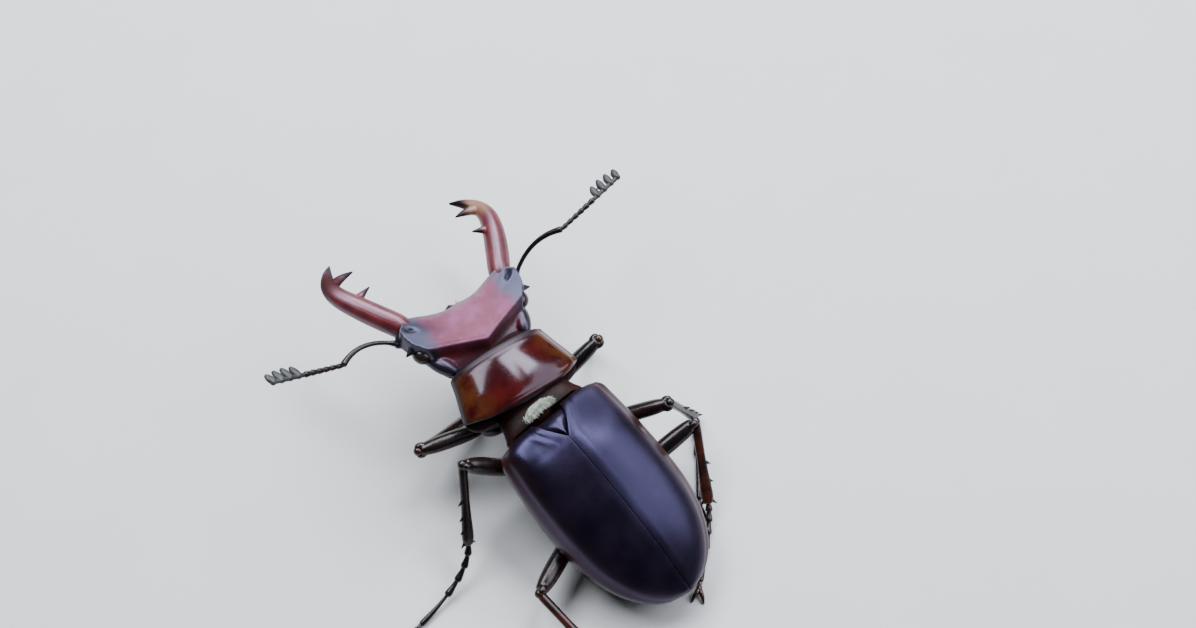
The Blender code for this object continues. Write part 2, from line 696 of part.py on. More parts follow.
def tarsus_stations(knee, ankle, toe):
    """Five joints, each wider towards its far end; the last is the longest."""
    shares = [0.0]
    for k in range(TARSUS_JOINTS):
        shares.append(shares[-1] + (1.0 if k < TARSUS_JOINTS - 1 else LAST_JOINT_LENGTH))
    shin_line = (ankle - knee).normalized()
    reach = min((toe - ankle).length * TARSUS_BEND, (ankle.z - toe.z) / -shin_line.z)
    middle = ankle + shin_line * reach
    stations = []
    for k in range(TARSUS_JOINTS):
        first, last = shares[k] / shares[-1], shares[k + 1] / shares[-1]
        span = last - first
        wide = TARSUS_WIDE if k < TARSUS_JOINTS - 1 else LAST_JOINT_WIDE
        for part, radius in ((0.1, TARSUS_NARROW), (0.85, wide)):
            share = TARSUS_START + (1 - TARSUS_START) * (first + span * part)
            stations.append((bend(ankle, middle, toe, share), radius * MM, radius * MM))
    return stations


def claws(name, ankle, toe, frames, materials):
    """Two hooked claws that spread from the toe down to the floor."""
    heading = (toe - ankle).normalized()
    flat = Vector((heading.x, heading.y, 0)).normalized()
    foot = toe + flat * CLAW_GAP * MM
    foot.z = (TOE_HEIGHT + 0.05) * MM
    hooks = []
    for hand in (1, -1):
        out = Matrix.Rotation(radians(CLAW_SPREAD * hand), 4, "Z") @ flat
        root = foot + out * 0.1 * MM
        middle = foot + out * CLAW_LENGTH * 0.55 * MM + Vector((0, 0, CLAW_ARCH * MM))
        tip = foot + out * CLAW_LENGTH * MM
        tip.z = CLAW_TIP_HEIGHT * MM
        stations = [(point, size * MM, size * MM) for point, size in zip((root, middle, tip), CLAW_SIZE)]
        label, sides = (name + "_other", 7) if hooks else (name, 6)
        hooks.append(tube(label, stations, frames["stance"], materials["limb"], sides))
    combine(hooks[0], as_guide(hooks[1]), "UNION")
    return hooks[0]


def leg(side, pair, frames, materials, floor):
    """Hip, thigh, shin, foot and claws. Returns the solids that the body must make room for."""
    hip, knee, ankle, toe = leg_points(side, pair, frames)
    label = f"{side}_{pair}"
    stance, limb = frames["stance"], materials["limb"]
    hinge = (knee - hip).cross(ankle - knee).normalized()
    thigh_sizes = sized(hip, knee, FEMUR_SIZE)
    shin_sizes = sized(knee, ankle, TIBIA_SIZE)
    coxa(side, pair, frames, materials)
    hip_room = as_guide(coxa(side, pair, frames, materials, grow=GAP))
    thigh = tube("femur_" + label, thigh_sizes, stance, limb, 8, hinge)
    shin = tube("tibia_" + label, shin_sizes, stance, limb, 8, hinge)
    shin_room = as_guide(tube(f"tibia_{label}_room", shin_sizes, stance, None, 8, hinge, GAP * MM))
    thigh_room = as_guide(tube(f"femur_{label}_room", thigh_sizes, stance, None, 6, hinge, GAP * MM))
    combine(thigh, hip_room, "DIFFERENCE")
    combine(thigh, shin_room, "DIFFERENCE")
    shin_line = (ankle - knee).normalized()
    outer = shin_line.cross(hinge).normalized()
    thorns = spines(f"tibia_{label}_spines", (knee, ankle), outer, TIBIA_SPINES[pair],
                    TIBIA_LENGTH[pair] * MM, frames)
    combine(shin, thorns, "UNION")
    foot_sizes = tarsus_stations(knee, ankle, toe)
    foot = tube("tarsus_" + label, foot_sizes, stance, limb, 6)
    foot_room = as_guide(tube(f"tarsus_{label}_room", foot_sizes[:4], stance, None, 6, grow=GAP * MM))
    combine(shin, foot_room, "DIFFERENCE")
    combine(foot, floor, "DIFFERENCE")
    combine(claws("claws_" + label, ankle, toe, frames, materials), floor, "DIFFERENCE")
    return hip_room, thigh_room


def floor_block(frames):
    """A block below z = 0 that trims the soles flat."""
    bm = bmesh.new()
    bmesh.ops.create_cube(bm, size=100 * MM, matrix=Matrix.Translation((0, 0, -50 * MM)))
    return as_guide(finish(bm, "floor_block", frames["stance"], None, smooth=False))


def body(frames, materials):
    """All plates of the trunk, chest and head. Returns the ones that carry legs."""
    notch = as_guide(scutellum("scutellum_room", frames, None, GAP, 1.0))
    for side in SIDES:
        combine(wing_case(side, frames, materials), notch, "DIFFERENCE")
    scutellum("scutellum", frames, materials["wing_case"])
    middle = thorax(frames, materials)
    combine(middle, notch, "DIFFERENCE")
    abdomen(frames, materials)
    chest_half("pronotum", chest_shield_section, frames, materials["chest"])
    breast = chest_half("breast_plate", breast_section, frames, materials["belly"])
    capsule = head(frames, materials)
    labrum(frames, materials)
    for side in SIDES:
        place = at(SIDES[side] * EYE_PLACE[0], *EYE_PLACE[1:])
        ball("eye_" + side, place, EYE_RADII, frames["head"], materials["eye"])
        combine(capsule, as_guide(ball(f"eye_{side}_room", place, EYE_RADII, frames["head"], None, grow=GAP)),
                "DIFFERENCE")
        mandible(side, frames, materials)
        socket = tube(f"mandible_{side}_room", stations_from(MANDIBLE_BAR[:3], side), frames["head"], None, 8,
                      grow=GAP * MM)
        combine(capsule, as_guide(socket), "DIFFERENCE")
        tube("palp_" + side, stations_from(PALP, side), frames["head"], materials["limb"])
        scape(side, frames, materials)
        funicle(side, frames, materials)
        club(side, frames, materials)
    return {"fore": breast, "mid": middle, "hind": middle}


def centre_over_origin(frames):
    """Move the whole beetle so that its box is centred over the origin."""
    bpy.context.view_layer.update()
    graph = bpy.context.evaluated_depsgraph_get()
    low, high = Vector((1, 1, 1)), Vector((-1, -1, -1))
    for thing in bpy.data.objects:
        if thing.type != "MESH" or thing.hide_render:
            continue
        shape = thing.evaluated_get(graph)
        for vert in shape.data.vertices:
            spot = shape.matrix_world @ vert.co
            low = Vector(map(min, low, spot))
            high = Vector(map(max, high, spot))
    middle = (low + high) / 2
    frames["stance"].location = (-middle.x, -middle.y, 0.0)
    bpy.context.view_layer.update()


def main():
    clear_scene()
    frames = make_frames()
    materials = make_materials()
    floor = floor_block(frames)
    carriers = body(frames, materials)
    for side in SIDES:
        for pair in HIP_PLACE:
            for room in leg(side, pair, frames, materials, floor):
                combine(carriers[pair], room, "DIFFERENCE")
    centre_over_origin(frames)


main()
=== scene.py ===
"""Stag beetle: fine shell plates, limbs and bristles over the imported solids, with floor, lamps and camera."""

import random
from math import asin, cos, degrees, exp, pi, radians, sin, sqrt, tan

import bmesh
import bpy
from mathutils import Matrix, Vector


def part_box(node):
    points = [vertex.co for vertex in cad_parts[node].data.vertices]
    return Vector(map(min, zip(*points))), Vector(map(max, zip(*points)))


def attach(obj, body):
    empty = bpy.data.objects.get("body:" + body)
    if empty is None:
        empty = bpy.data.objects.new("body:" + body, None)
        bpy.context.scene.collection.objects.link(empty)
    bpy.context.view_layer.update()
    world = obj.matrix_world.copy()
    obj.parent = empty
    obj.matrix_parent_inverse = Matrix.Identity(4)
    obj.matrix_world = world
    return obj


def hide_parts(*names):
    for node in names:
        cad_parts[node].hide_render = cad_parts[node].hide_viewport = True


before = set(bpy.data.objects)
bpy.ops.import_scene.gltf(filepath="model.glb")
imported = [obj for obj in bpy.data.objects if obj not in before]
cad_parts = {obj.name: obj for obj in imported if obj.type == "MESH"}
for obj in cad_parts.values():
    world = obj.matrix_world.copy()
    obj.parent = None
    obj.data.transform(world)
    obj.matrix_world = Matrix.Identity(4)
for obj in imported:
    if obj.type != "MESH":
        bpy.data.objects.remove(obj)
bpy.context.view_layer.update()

MM = 0.001
UP = Vector((0, 0, 1))
SIDES = {"left": 1, "right": -1}
PAIRS = ("fore", "mid", "hind")
WHITE = (1.0, 1.0, 1.0, 1.0)
HAIR_SEED = 7
SHARP_ANGLE = 50
SHIELD_SHARP_ANGLE = 60
CAP_ANGLES = (pi / 8, pi / 4, 3 * pi / 8, 7 * pi / 16)
CAP_DEPTH = 0.6

# Lengths are in millimetres and angles in degrees. Shares run from 0 at the start of a part to 1 at its end.
# Curves are (share, value) keys. Beads are (height, distance, width) rows. Relief is rows of
# (height, place across, width, place along, reach), and a rounding is (height, reach). GAP is left between
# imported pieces, and ENDLESS is a reach that never fades.
GAP = 0.2
ENDLESS = 1e6

# Carriage of the trunk, chest and head.
TRUNK_HEIGHT = 10.0
TRUNK_PITCH = 12.0
TRUNK_ROLL = 2.9
CHEST_PLACE = (0.0, 1.95, -0.8)
CHEST_TURN = (-7.0, 2.0, -7.7)
HEAD_PLACE = (0.0, 6.55, -0.85)
HEAD_TURN = (3.0, 15.8, -4.5)

# Wing cases and the trunk under them.
CASE_ROWS = 64
CASE_ROW_SPREAD = 1.15
CASE_LAST_ROWS = (0.996, 0.998)
CASE_STEPS = 40
CASE_STEP_SPREAD = 0.9
CASE_BASE = 0.25
CASE_BASE_BOW = 0.35
CASE_BASE_BOW_REACH = 0.12
CASE_BASE_ROUND = (0.45, 0.012)
CASE_LENGTH = 18.2
CASE_HALF_WIDTH = 6.0
CASE_SHOULDER = 5.4
CASE_CORNER = (0.09, 0.05)
CASE_WIDEST = 0.43
CASE_TAIL_POWER = 2.35
CASE_THICKNESS = 0.7
CASE_WALL = (0.3, 0.25)
CASE_WALL_REACH = 0.1
CASE_RIDGE = ((0.0, -0.95), (0.03, -0.4), (0.08, 0.0), (0.14, 0.3), (0.22, 0.48), (0.3, 0.52), (0.5, 0.35),
              (0.7, -0.5), (0.86, -1.65), (1.0, -3.1))
CASE_EDGE = ((0.0, -1.8), (0.1, -2.6), (0.3, -3.3), (0.5, -3.8), (0.8, -3.7), (1.0, -3.8))
ARCH_BULGE = 0.88
ARCH_CROWN = 0.82
BELLY_BULGE = 0.7
BELLY_CROWN = 0.85
SUTURE_HALF_GAP = 0.025
SUTURE_RELIEF = ((-0.09, 0.0, 0.1, 0.0, ENDLESS), (-0.1, 0.75, 0.2, 0.0, 0.13), (0.05, 0.35, 0.2, 0.0, 0.2),
                 (0.05, 1.15, 0.25, 0.0, 0.12))
SUTURE_ROOF = 0.2
SUTURE_ROOF_REACH = 1.0
SHOULDER_RELIEF = ((0.22, 4.2, 0.9, 1.82, 1.3), (-0.1, 2.6, 0.8, 1.456, 1.1))
RIM_HEIGHT = 0.07
RIM_BEAD = ((1.0, 0.985, 0.16), (-0.6, 0.92, 0.2))
# The rim tone places the brown that is partly painted reflection.
RIM_TONE_REACH = 0.8
RIM_TONE_INSIDE = 0.5
BELLY = ((0.0, -5.0), (0.12, -6.2), (0.35, -6.5), (0.5, -6.3), (0.75, -5.8), (0.95, -4.9))
TRUNK_STEPS = 22
COLLAR = ((3.4, 2.9, -1.5, -3.6), (2.6, 3.3, -1.3, -3.8), (1.8, 3.5, -1.2, -4.0), (1.5, 3.6, -1.12, -4.1),
          (1.1, 3.75, -1.02, -4.3), (0.8, 3.95, -1.05, -4.6))
COLLAR_EDGE_DROP = 1.2
THORAX_ROWS = 40
THORAX_START = 0.002
THORAX_END = 0.5
THORAX_RELIEF = ((0.16, 0.0, 0.22, 0.32, 0.14), (0.1, 0.0, ENDLESS, 0.205, 0.008))
THORAX_RELIEF_LEVEL = -4.5
ABDOMEN_END = 0.955
ABDOMEN_RINGS = 5
RING_STEP = 0.14
RING_PROFILE = ((0.0, 1.0), (0.05, 0.75), (0.2, 0.45), (0.5, 0.2), (0.8, 0.02), (0.92, 0.0), (0.965, 0.25))
SCUTELLUM_ROWS = 26
SCUTELLUM_LAST = 0.985
SCUTELLUM_BASE = 0.2
SCUTELLUM_TIP = 2.0
SCUTELLUM_HALF_WIDTH = 1.3
SCUTELLUM_WAIST = 0.35
SCUTELLUM_NARROWING = 0.2
SCUTELLUM_SLACK = 0.1
SCUTELLUM_LIFT = 0.14
SCUTELLUM_DOME = 0.3
SCUTELLUM_ROUND = 0.12
SCUTELLUM_ROUND_REACH = 0.06
SCUTELLUM_DEPTH = 0.9

# Chest.
SHIELD_ROWS = 60
SHIELD_STEPS = 44
BREAST_ROWS = 40
BREAST_STEPS = 30
CHEST_REAR = 0.3
CHEST_LENGTH = 5.45
CHEST_HALF_WIDTH = ((0.0, 4.85), (0.08, 5.35), (0.18, 5.6), (0.4, 5.35), (0.7, 4.85), (1.0, 4.45))
CHEST_RIDGE = ((0.0, -0.05), (0.08, 0.4), (0.35, 0.6), (0.8, 0.45), (1.0, 0.1))
CHEST_EDGE = ((0.0, -1.95), (1.0, -2.3))
CHEST_BELLY = ((0.0, -4.0), (0.3, -5.0), (0.7, -4.7), (1.0, -3.8))
CHEST_REAR_BOW = 0.3
CHEST_FRONT_BOW = 0.12
CHEST_UNDERCUT = 0.55
CHEST_UNDERCUT_REACH = 0.3
SHIELD_TUCK = (0.22, 0.22)
SHIELD_FOOT = 0.05
SHIELD_BEAD = ((1.0, 0.05, 0.14), (-0.5, 0.42, 0.2))
SHIELD_BEAD_OUT = 0.07
SHIELD_BEAD_UP = 0.05
SHIELD_END_BEAD = ((0.035, 0.18, 0.12), (-0.03, 0.5, 0.16))
SHIELD_RELIEF = ((-0.015, 0.0, 0.4, 0.5, 0.28), (-0.1, 3.8, 0.8, 0.22, 0.12))
SHIELD_RIM_REACH = 0.25
SHIELD_REAR_REACH = 0.35
SHIELD_FRONT_REACH = 0.7
SHIELD_SIDE_FADE = (0.45, 1.0)
BREAST_TUCK = (0.25, 0.25)
BREAST_INSET = 0.15
BREAST_KEEL = ((-0.3, 0.0, 0.45, 0.15, 0.2),)
NECK = ((0.0, 3.7, 0.85), (0.5, 3.6, 0.8), (1.0, 3.4, 0.75))
NECK_OVERLAP = 0.7
NECK_LEVELS = (-1.9, -2.2)

# Head. Its lumps are rows of (place, radii, turn). A fade is (where it starts, where it is full).
HEAD_HALF_WIDTH = ((0.0, 4.0), (0.12, 4.2), (0.33, 4.65), (0.51, 5.2), (0.66, 5.7), (0.9, 6.0), (1.0, 5.95))
HEAD_FRONT = ((0.0, 4.95), (1.6, 4.92), (2.8, 5.2), (3.8, 5.5), (4.8, 5.6), (6.0, 4.7))
HEAD_REAR = -0.5
PLATEAU_MIDDLE = -0.15
PLATEAU_RISE = 0.95
CREST_MIDDLE = 0.45
CREST_SWEEP = 1.7
CREST_SWEEP_WIDTH = 4.35
CREST_SWEEP_POWER = 0.75
CREST_BLUNT = 0.6
CREST_STEP = 0.35
CREST_STEP_REACH = 0.45
CREST_SLOPE = 0.35
CREST_HOLLOW = 0.6
CREST_HOLLOW_REACH = 0.8
CREST_BEAD = ((0.04, 0.12, 0.2),)
FRONT_BEAD = ((0.1, -0.1, 0.18),)
PIT_BEAD = ((0.16, 0.0, 0.6), (-0.42, 0.0, 0.2))
PIT_PLACE = (5.15, 4.5)
PIT_SLANT = 31.0
PIT_STRETCH = 0.4
CHEEK_LEVEL = -1.0
CHEEK_DROP = 0.5
CHEEK_BULGE = 0.12
JAW_LEVEL = ((0.0, -3.3), (0.5, -3.1), (1.0, -2.0))
JAW_NARROWING = 0.79
CHEEK_SPIKE = ((5.6, 3.25, -0.35), (6.5, 3.0, -0.55))
CHEEK_SPIKE_RADII = (0.42, 0.08)
HEAD_LUMPS = (((4.2, 1.05, -1.45), (0.7, 1.6, 0.7), 25), ((6.1, 4.65, -0.85), (0.42, 0.4, 0.38), 0),
              ((5.2, 4.95, -0.5), (1.0, 0.75, 0.85), 0))
CHIN = ((0.0, 3.4, -2.45), (1.9, 1.5, 0.55))
# These fades place the head's painted light: the plateau's painted sky reflection, the corners' painted sheen,
# the front edge's painted highlight, and painted shade on the flanks, nape, underside and pits.
TOP_FADE = (-0.45, -0.2)
PLATEAU_REFLECTION_FADE = (-0.3, 0.15)
CORNER_SHEEN_FADE = (3.5, 4.6)
CORNER_PIT_SHEEN_REACH = 0.6
FRONT_HIGHLIGHT_REACH = 0.35
FLANK_SHADE_SLANT = 0.47
FLANK_SHADE_FADE = (3.2, 3.6)
NAPE_SHADE_FADE = (1.1, 1.6)
NAPE_SHADE_SIDE_FADE = (0.0, 2.0)
BELOW_SHADE_FADE = (0.35, 0.75)
PIT_SHADE = 0.9
PIT_SHADE_REACH = 0.2
EYE_PLACE = (5.05, 2.75, -1.0)
EYE_RADII = (0.85, 0.95, 0.75)

# Jaws and mouth: rows of (outward, ahead, up, half width, half depth).
MANDIBLE_BAR = (
    (5.0, 4.9, -0.5, 0.9, 0.85),
    (5.25, 5.8, -0.25, 1.0, 1.05),
    (6.25, 7.5, 0.05, 1.04, 1.0),
    (7.2, 9.3, 0.25, 0.98, 0.95),
    (7.85, 11.0, 0.25, 0.86, 0.82),
    (7.85, 12.4, 0.1, 0.7, 0.64),
    (7.2, 13.7, -0.15, 0.46, 0.44),
    (6.35, 14.75, -0.5, 0.1, 0.1),
)
MANDIBLE_TINE = ((7.8, 12.1, 0.15, 0.55, 0.5), (7.1, 12.4, 0.27, 0.44, 0.4), (6.3, 12.5, 0.35, 0.3, 0.28),
                 (5.4, 12.5, 0.4, 0.08, 0.08))
MANDIBLE_TOOTH = ((7.2, 9.5, 0.35, 0.6, 0.5), (6.6, 9.7, 0.55, 0.42, 0.38), (6.0, 9.85, 0.7, 0.24, 0.22),
                  (5.35, 10.0, 0.85, 0.07, 0.07))
PALP = ((1.9, 3.5, -2.7, 0.3, 0.3), (2.5, 4.9, -2.9, 0.24, 0.24), (2.3, 5.5, -2.8, 0.3, 0.28),
        (2.2, 6.1, -2.6, 0.26, 0.24))
LABRUM_ROWS = 12
LABRUM_STEPS = 20
LABRUM_LENGTH = 1.1
LABRUM_HALF_WIDTH = 1.1
LABRUM_NARROWING = 0.35
LABRUM_DROP = (0.9, 0.5)
LABRUM_HALF_DEPTH = (0.42, 0.2)

# Antennae.
SCAPE_FOOT = (6.35, 4.85, -0.75)
ELBOW = {"left": (11.3, 5.0, 0.0), "right": (10.9, 4.5, 2.7)}
CLUB_TIP = {"left": (18.2, 5.0, 3.1), "right": (18.2, 5.3, 4.7)}
SCAPE_BOW = (0.0, 1.6, 0.4)
SCAPE_RADIUS = 0.28
SCAPE_ROWS = 24
ELBOW_GAP = 0.1
FUNICLE_BEADS = 6
FUNICLE_SHARE = 0.52
FUNICLE_PROFILE = ((0.02, 0.17), (0.12, 0.2), (0.35, 0.225), (0.6, 0.25), (0.78, 0.26), (0.88, 0.24),
                   (0.94, 0.19))
CLUB_PLATES = 4
CLUB_REACH = 0.55
CLUB_FOOT = 0.2
CLUB_END = 0.35
CLUB_STALK_BACK = 0.3
CLUB_STALK_RADII = (0.18, 0.2)
CLUB_ROOT_RADII = (0.27, 0.27, 0.27)
CLUB_ROOT_SHIFT = 0.05
LEAF_ROWS = 11
LEAF_START = 0.35
LEAF_LEAN = 0.3
LEAF_HALF_WIDTH = (0.17, 0.19)
LEAF_HALF_DEPTH = (0.3, 0.1)

# Legs: lengths of thigh, shin and foot, and their headings from ahead towards the outside with the rise.
HIP_PLACE = {"fore": (2.2, 1.1, -5.2), "mid": (2.9, -1.8, -5.9), "hind": (1.9, -7.4, -6.0)}
COXA_SHIFT = {"fore": (0.3, 0.0, 0.35), "mid": (0.2, 0.0, 0.35), "hind": (0.8, 0.1, 0.2)}
COXA_RADII = {"fore": (1.5, 1.0, 1.0), "mid": (1.2, 1.0, 0.95), "hind": (1.9, 0.8, 0.8)}
LEG_LENGTHS = {"fore": (7.15, 6.8, 5.1), "mid": (7.85, 7.4, 7.95), "hind": (8.3, 7.05, 7.0)}
LEG_TURNS = {
    "left_fore": ((72, 5.5), (-81, -30), -76),
    "left_mid": ((65, 42), (141, -51), 105),
    "left_hind": ((111, 7), (185, -20), 143),
    "right_fore": ((92, 24), (24, -69.5), -85),
    "right_mid": ((126, 25.5), (97, -66), 220),
    "right_hind": ((96, 18.5), (210.5, -34), 229),
}
LIMB_ROWS = 34
FEMUR_SIZE = ((0.05, 0.35, 0.35), (0.12, 0.42, 0.4), (0.2, 0.46, 0.42), (0.34, 0.68, 0.62), (0.6, 0.78, 0.7),
              (0.84, 0.72, 0.64), (0.95, 0.56, 0.5))
KNEE_CHEEK_SHARE = 0.965
KNEE_CHEEK_SHIFT = 0.36
KNEE_CHEEK_RADII = (0.5, 0.34, 0.34)
FEMUR_FOOT_SHARE = 0.1
FEMUR_FOOT_RADII = (0.5, 0.48, 0.48)
TIBIA_SIZE = ((0.0, 0.36, 0.34), (0.1, 0.4, 0.34), (0.5, 0.4, 0.34), (0.92, 0.55, 0.4), (1.0, 0.46, 0.34))
TIBIA_HEAD_RADII = (0.42, 0.42, 0.42)
TIBIA_SPINES = {"fore": (0.3, 0.45, 0.6, 0.75, 0.9), "mid": (0.45, 0.65, 0.82), "hind": (0.5, 0.72)}
SPINE_LENGTH = 0.55
SPINE_SLANT = 0.6
SPUR_SHARE = 0.955
SPUR_LENGTH = 0.75
SPUR_SLANT = 1.3
SPINE_ROOT = (0.15, 0.3)
SPINE_RADII = (0.25, 0.03)
TARSUS_BEND = 0.4
TARSUS_JOINTS = 5
TARSUS_LAST_LENGTH = 1.9
TARSUS_HALF_WIDTH = 0.33
TARSUS_LAST_HALF_WIDTH = 0.27
TARSUS_FLATNESS = 0.95
TARSUS_PROFILE = ((-0.12, 0.5), (0.1, 0.6), (0.35, 0.7), (0.6, 0.86), (0.8, 1.0), (0.92, 0.98))
TOE_HEIGHT = 0.27
CLAW_LENGTH = 1.25
CLAW_SPREAD = 32
CLAW_STEPS = 15
CLAW_KNOB_RADII = (0.27, 0.27, 0.25)
CLAW_NECK_RADIUS = 0.17
CLAW_NECK_BACK = 0.15
CLAW_KNOB_BACK = 0.12
CLAW_KNOB_AHEAD = 0.3
CLAW_KNOB_LIFT = 0.05
CLAW_MIDDLE_REACH = 0.55
CLAW_MIDDLE_RISE = 0.34
CLAW_TIP_REACH = (0.6, 0.42)
CLAW_TIP_HEIGHT = 0.05
CLAW_CURL = 0.6
CLAW_RADII = (0.22, 0.04)

# Bristles: counts, half widths, and lengths as (least, most).
FRINGE_COUNT = 1200
FRINGE_MIDDLE = (0.1, 1.35, -1.17)
FRINGE_REACH = (1.35, 0.6)
FRINGE_BOW = (0.3, 0.25)
FRINGE_HEADING = (0.5, -0.8, 0.5)
FRINGE_LENGTH = (0.35, 0.75)
FRINGE_RADIUS = 0.03
PAD_ROWS = 14
PAD_SPAN = (0.55, 0.95)
PAD_ROOT = (0.16, 0.14)
PAD_HEADING = (0.9, 0.5, 0.5)
PAD_LENGTH = (0.22, 0.42)
PAD_RADIUS = 0.022
BRUSH_COUNT = 150
BRUSH_MIDDLE = (0.75, 4.6, -2.2)
BRUSH_REACH = (0.3, 0.22)
BRUSH_LENGTH = (1.0, 1.9)
BRUSH_RADIUS = 0.026
PATCH_SIZE = 0.003

# Lamps: heading from ahead towards the left, rise, size, watts and colour. Sizes here are in metres.
LAMPS = {
    "window": (-42, 43, (0.15, 0.13), 1.0, (0.9, 0.93, 1.0)),
    "front": (8, 60, (0.16, 0.13), 1.05, (0.86, 0.91, 1.0)),
    "side": (-121, 43, (0.25, 0.22), 1.0, (0.84, 0.88, 1.0)),
    "skylight": (-71, 60, (0.1, 0.07), 0.6, (0.88, 0.9, 1.0)),
}
LAMP_DISTANCE = 0.3
ROOM_COLOUR = (0.85, 0.88, 0.95, 1.0)
ROOM_STRENGTH = 0.05
FLOOR_HALF_WIDTH = 0.6

# Camera. Only its clipping is in metres.
LENS = 45.66
CLIP_START = 0.005
CAMERA_PLACE = (30.142, 39.282, 123.568)
CAMERA_HEADING = (-0.30684, -0.34241, -0.88803)
CAMERA_UP = (-0.59164, -0.66225, 0.45978)


# ---- places

def at(left, ahead, up):
    """A point given as millimetres to the left, ahead and up."""
    return Vector((left, -ahead, up))


def beside(side, place):
    """A point given as millimetres outward on one side, ahead and up."""
    return at(SIDES[side] * place[0], *place[1:])


def carried(place, turn):
    """The matrix of a carried frame in its parent: roll, then pitch, then yaw."""
    yaw, pitch, roll = (radians(angle) for angle in turn)
    spin = Matrix.Rotation(yaw, 4, "Z") @ Matrix.Rotation(pitch, 4, "X") @ Matrix.Rotation(roll, 4, "Y")
    return Matrix.Translation(at(*place)) @ spin


def carriage():
    """Frames of the stance, trunk, chest and head in millimetres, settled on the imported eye."""
    trunk = carried((0, 0, TRUNK_HEIGHT), (0, -TRUNK_PITCH, TRUNK_ROLL))
    chest = trunk @ carried(CHEST_PLACE, CHEST_TURN)
    head = chest @ carried(HEAD_PLACE, HEAD_TURN)
    low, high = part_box("eye_left")
    shift = (low + high) / (2 * MM) - head @ at(*EYE_PLACE)
    stance = Matrix.Translation((shift.x, shift.y, 0))
    return {"stance": stance, "trunk": stance @ trunk, "chest": stance @ chest, "head": stance @ head}


FRAMES = carriage()


def along(keys, t):
    """The value at t of a smooth curve through (t, value) keys."""
    last = len(keys) - 2
    i = max(k for k in range(last + 1) if k == 0 or keys[k][0] <= t)
    (t0, v0), (t1, v1) = keys[i], keys[i + 1]
    before = keys[max(i - 1, 0)]
    after = keys[min(i + 2, last + 1)]
    share = (t - t0) / (t1 - t0)
    rise0 = (v1 - before[1]) / (t1 - before[0]) * (t1 - t0)
    rise1 = (after[1] - v0) / (after[0] - t0) * (t1 - t0)
    s2, s3 = share * share, share ** 3
    from_start = (2 * s3 - 3 * s2 + 1) * v0 + (s3 - 2 * s2 + share) * rise0
    return from_start + (3 * s2 - 2 * s3) * v1 + (s3 - s2) * rise1


def finer(rows, count):
    """More rows, evenly spread on smooth curves through the given ones."""
    steps = [k / (len(rows) - 1) for k in range(len(rows))]
    columns = [list(zip(steps, column)) for column in zip(*rows)]
    return [[along(column, k / (count - 1)) for column in columns] for k in range(count)]


def ramp(value, fade):
    """0 below the first value of the fade, 1 above its second, even between."""
    start, end = fade
    return min(1.0, max(0.0, (value - start) / (end - start)))


def taper(distance, reach):
    """1 at no distance, falling evenly to 0 at the reach."""
    return max(0.0, 1 - distance / reach)


def rounding(shape, distance):
    """How much an end is rounded off at a distance from it."""
    height, reach = shape
    return height * taper(distance, reach) ** 2


def bell(distance, width):
    """A soft bump: 1 at no distance, fading over the width."""
    return exp(-(distance / width) ** 2)


def beads(rows, distance):
    """The height at a distance of soft beads that run side by side."""
    return sum(height * bell(distance - place, width) for height, place, width in rows)


def relief(rows, across, ahead):
    """The height at a place of a table of soft bumps."""
    return sum(
        height * bell(across - middle, width) * bell(ahead - centre, reach)
        for height, middle, width, centre, reach in rows
    )


def bend(start, middle, end, t):
    """The point at t of a soft curve from start to end that is drawn towards the middle."""
    return start * (1 - t) ** 2 + middle * 2 * t * (1 - t) + end * t * t


# ---- meshes

def ring(bm, points):
    """A closed ring of edges through the points."""
    verts = [bm.verts.new(point) for point in points]
    return [bm.edges.new(pair) for pair in zip(verts, verts[1:] + verts[:1])]


def skin(bm, rings):
    """Cover a row of rings and close both ends."""
    for first, second in zip(rings, rings[1:]):
        bmesh.ops.bridge_loops(bm, edges=first + second)
    for end in (rings[0], rings[-1]):
        cap = bmesh.ops.contextual_create(bm, geom=end)["faces"]
        bmesh.ops.poke(bm, faces=cap)


def lofted(sections):
    """A closed skin over a row of sections, each a row of points."""
    bm = bmesh.new()
    skin(bm, [ring(bm, points) for points in sections])
    return bm


def tube(bm, stations, sides, up_hint=UP):
    """A closed limb through (point, half width, half depth) stations, with rounded ends."""
    points = [station[0] for station in stations]
    cap = [(CAP_DEPTH * sin(angle), cos(angle)) for angle in CAP_ANGLES]
    turns = [2 * pi * k / sides for k in range(sides)]
    rings = []
    for i, (point, width, depth) in enumerate(stations):
        heading = (points[min(i + 1, len(points) - 1)] - points[max(i - 1, 0)]).normalized()
        across = heading.cross(up_hint).normalized()
        up = across.cross(heading)
        rows = [(0.0, 1.0)]
        if i == 0:
            rows = [(-shift, scale) for shift, scale in cap[::-1]] + rows
        if i == len(stations) - 1:
            rows += cap
        for shift, scale in rows:
            centre = point + heading * shift * min(width, depth)
            rings.append(ring(bm, [
                centre + across * width * scale * cos(turn) + up * depth * scale * sin(turn) for turn in turns
            ]))
    skin(bm, rings)


def rounded(rows):
    """Stations of a round tube from (point, radius) rows."""
    return [(point, radius, radius) for point, radius in rows]


def ball(bm, place, radii, turn=None, segments=24):
    """An ellipsoid."""
    spot = Matrix.Translation(place) @ (turn or Matrix()) @ Matrix.Diagonal([*radii, 1.0])
    bmesh.ops.create_uvsphere(bm, u_segments=segments, v_segments=segments // 2, radius=1.0, matrix=spot)


def cone(bm, root, tip, radii, sides):
    """A thorn from root to tip. Returns its points."""
    line = tip - root
    spot = Matrix.Translation((root + tip) / 2) @ line.to_track_quat("Z", "Y").to_matrix().to_4x4()
    return bmesh.ops.create_cone(bm, cap_ends=True, cap_tris=True, segments=sides, radius1=radii[0],
                                 radius2=radii[1], depth=line.length, matrix=spot)["verts"]


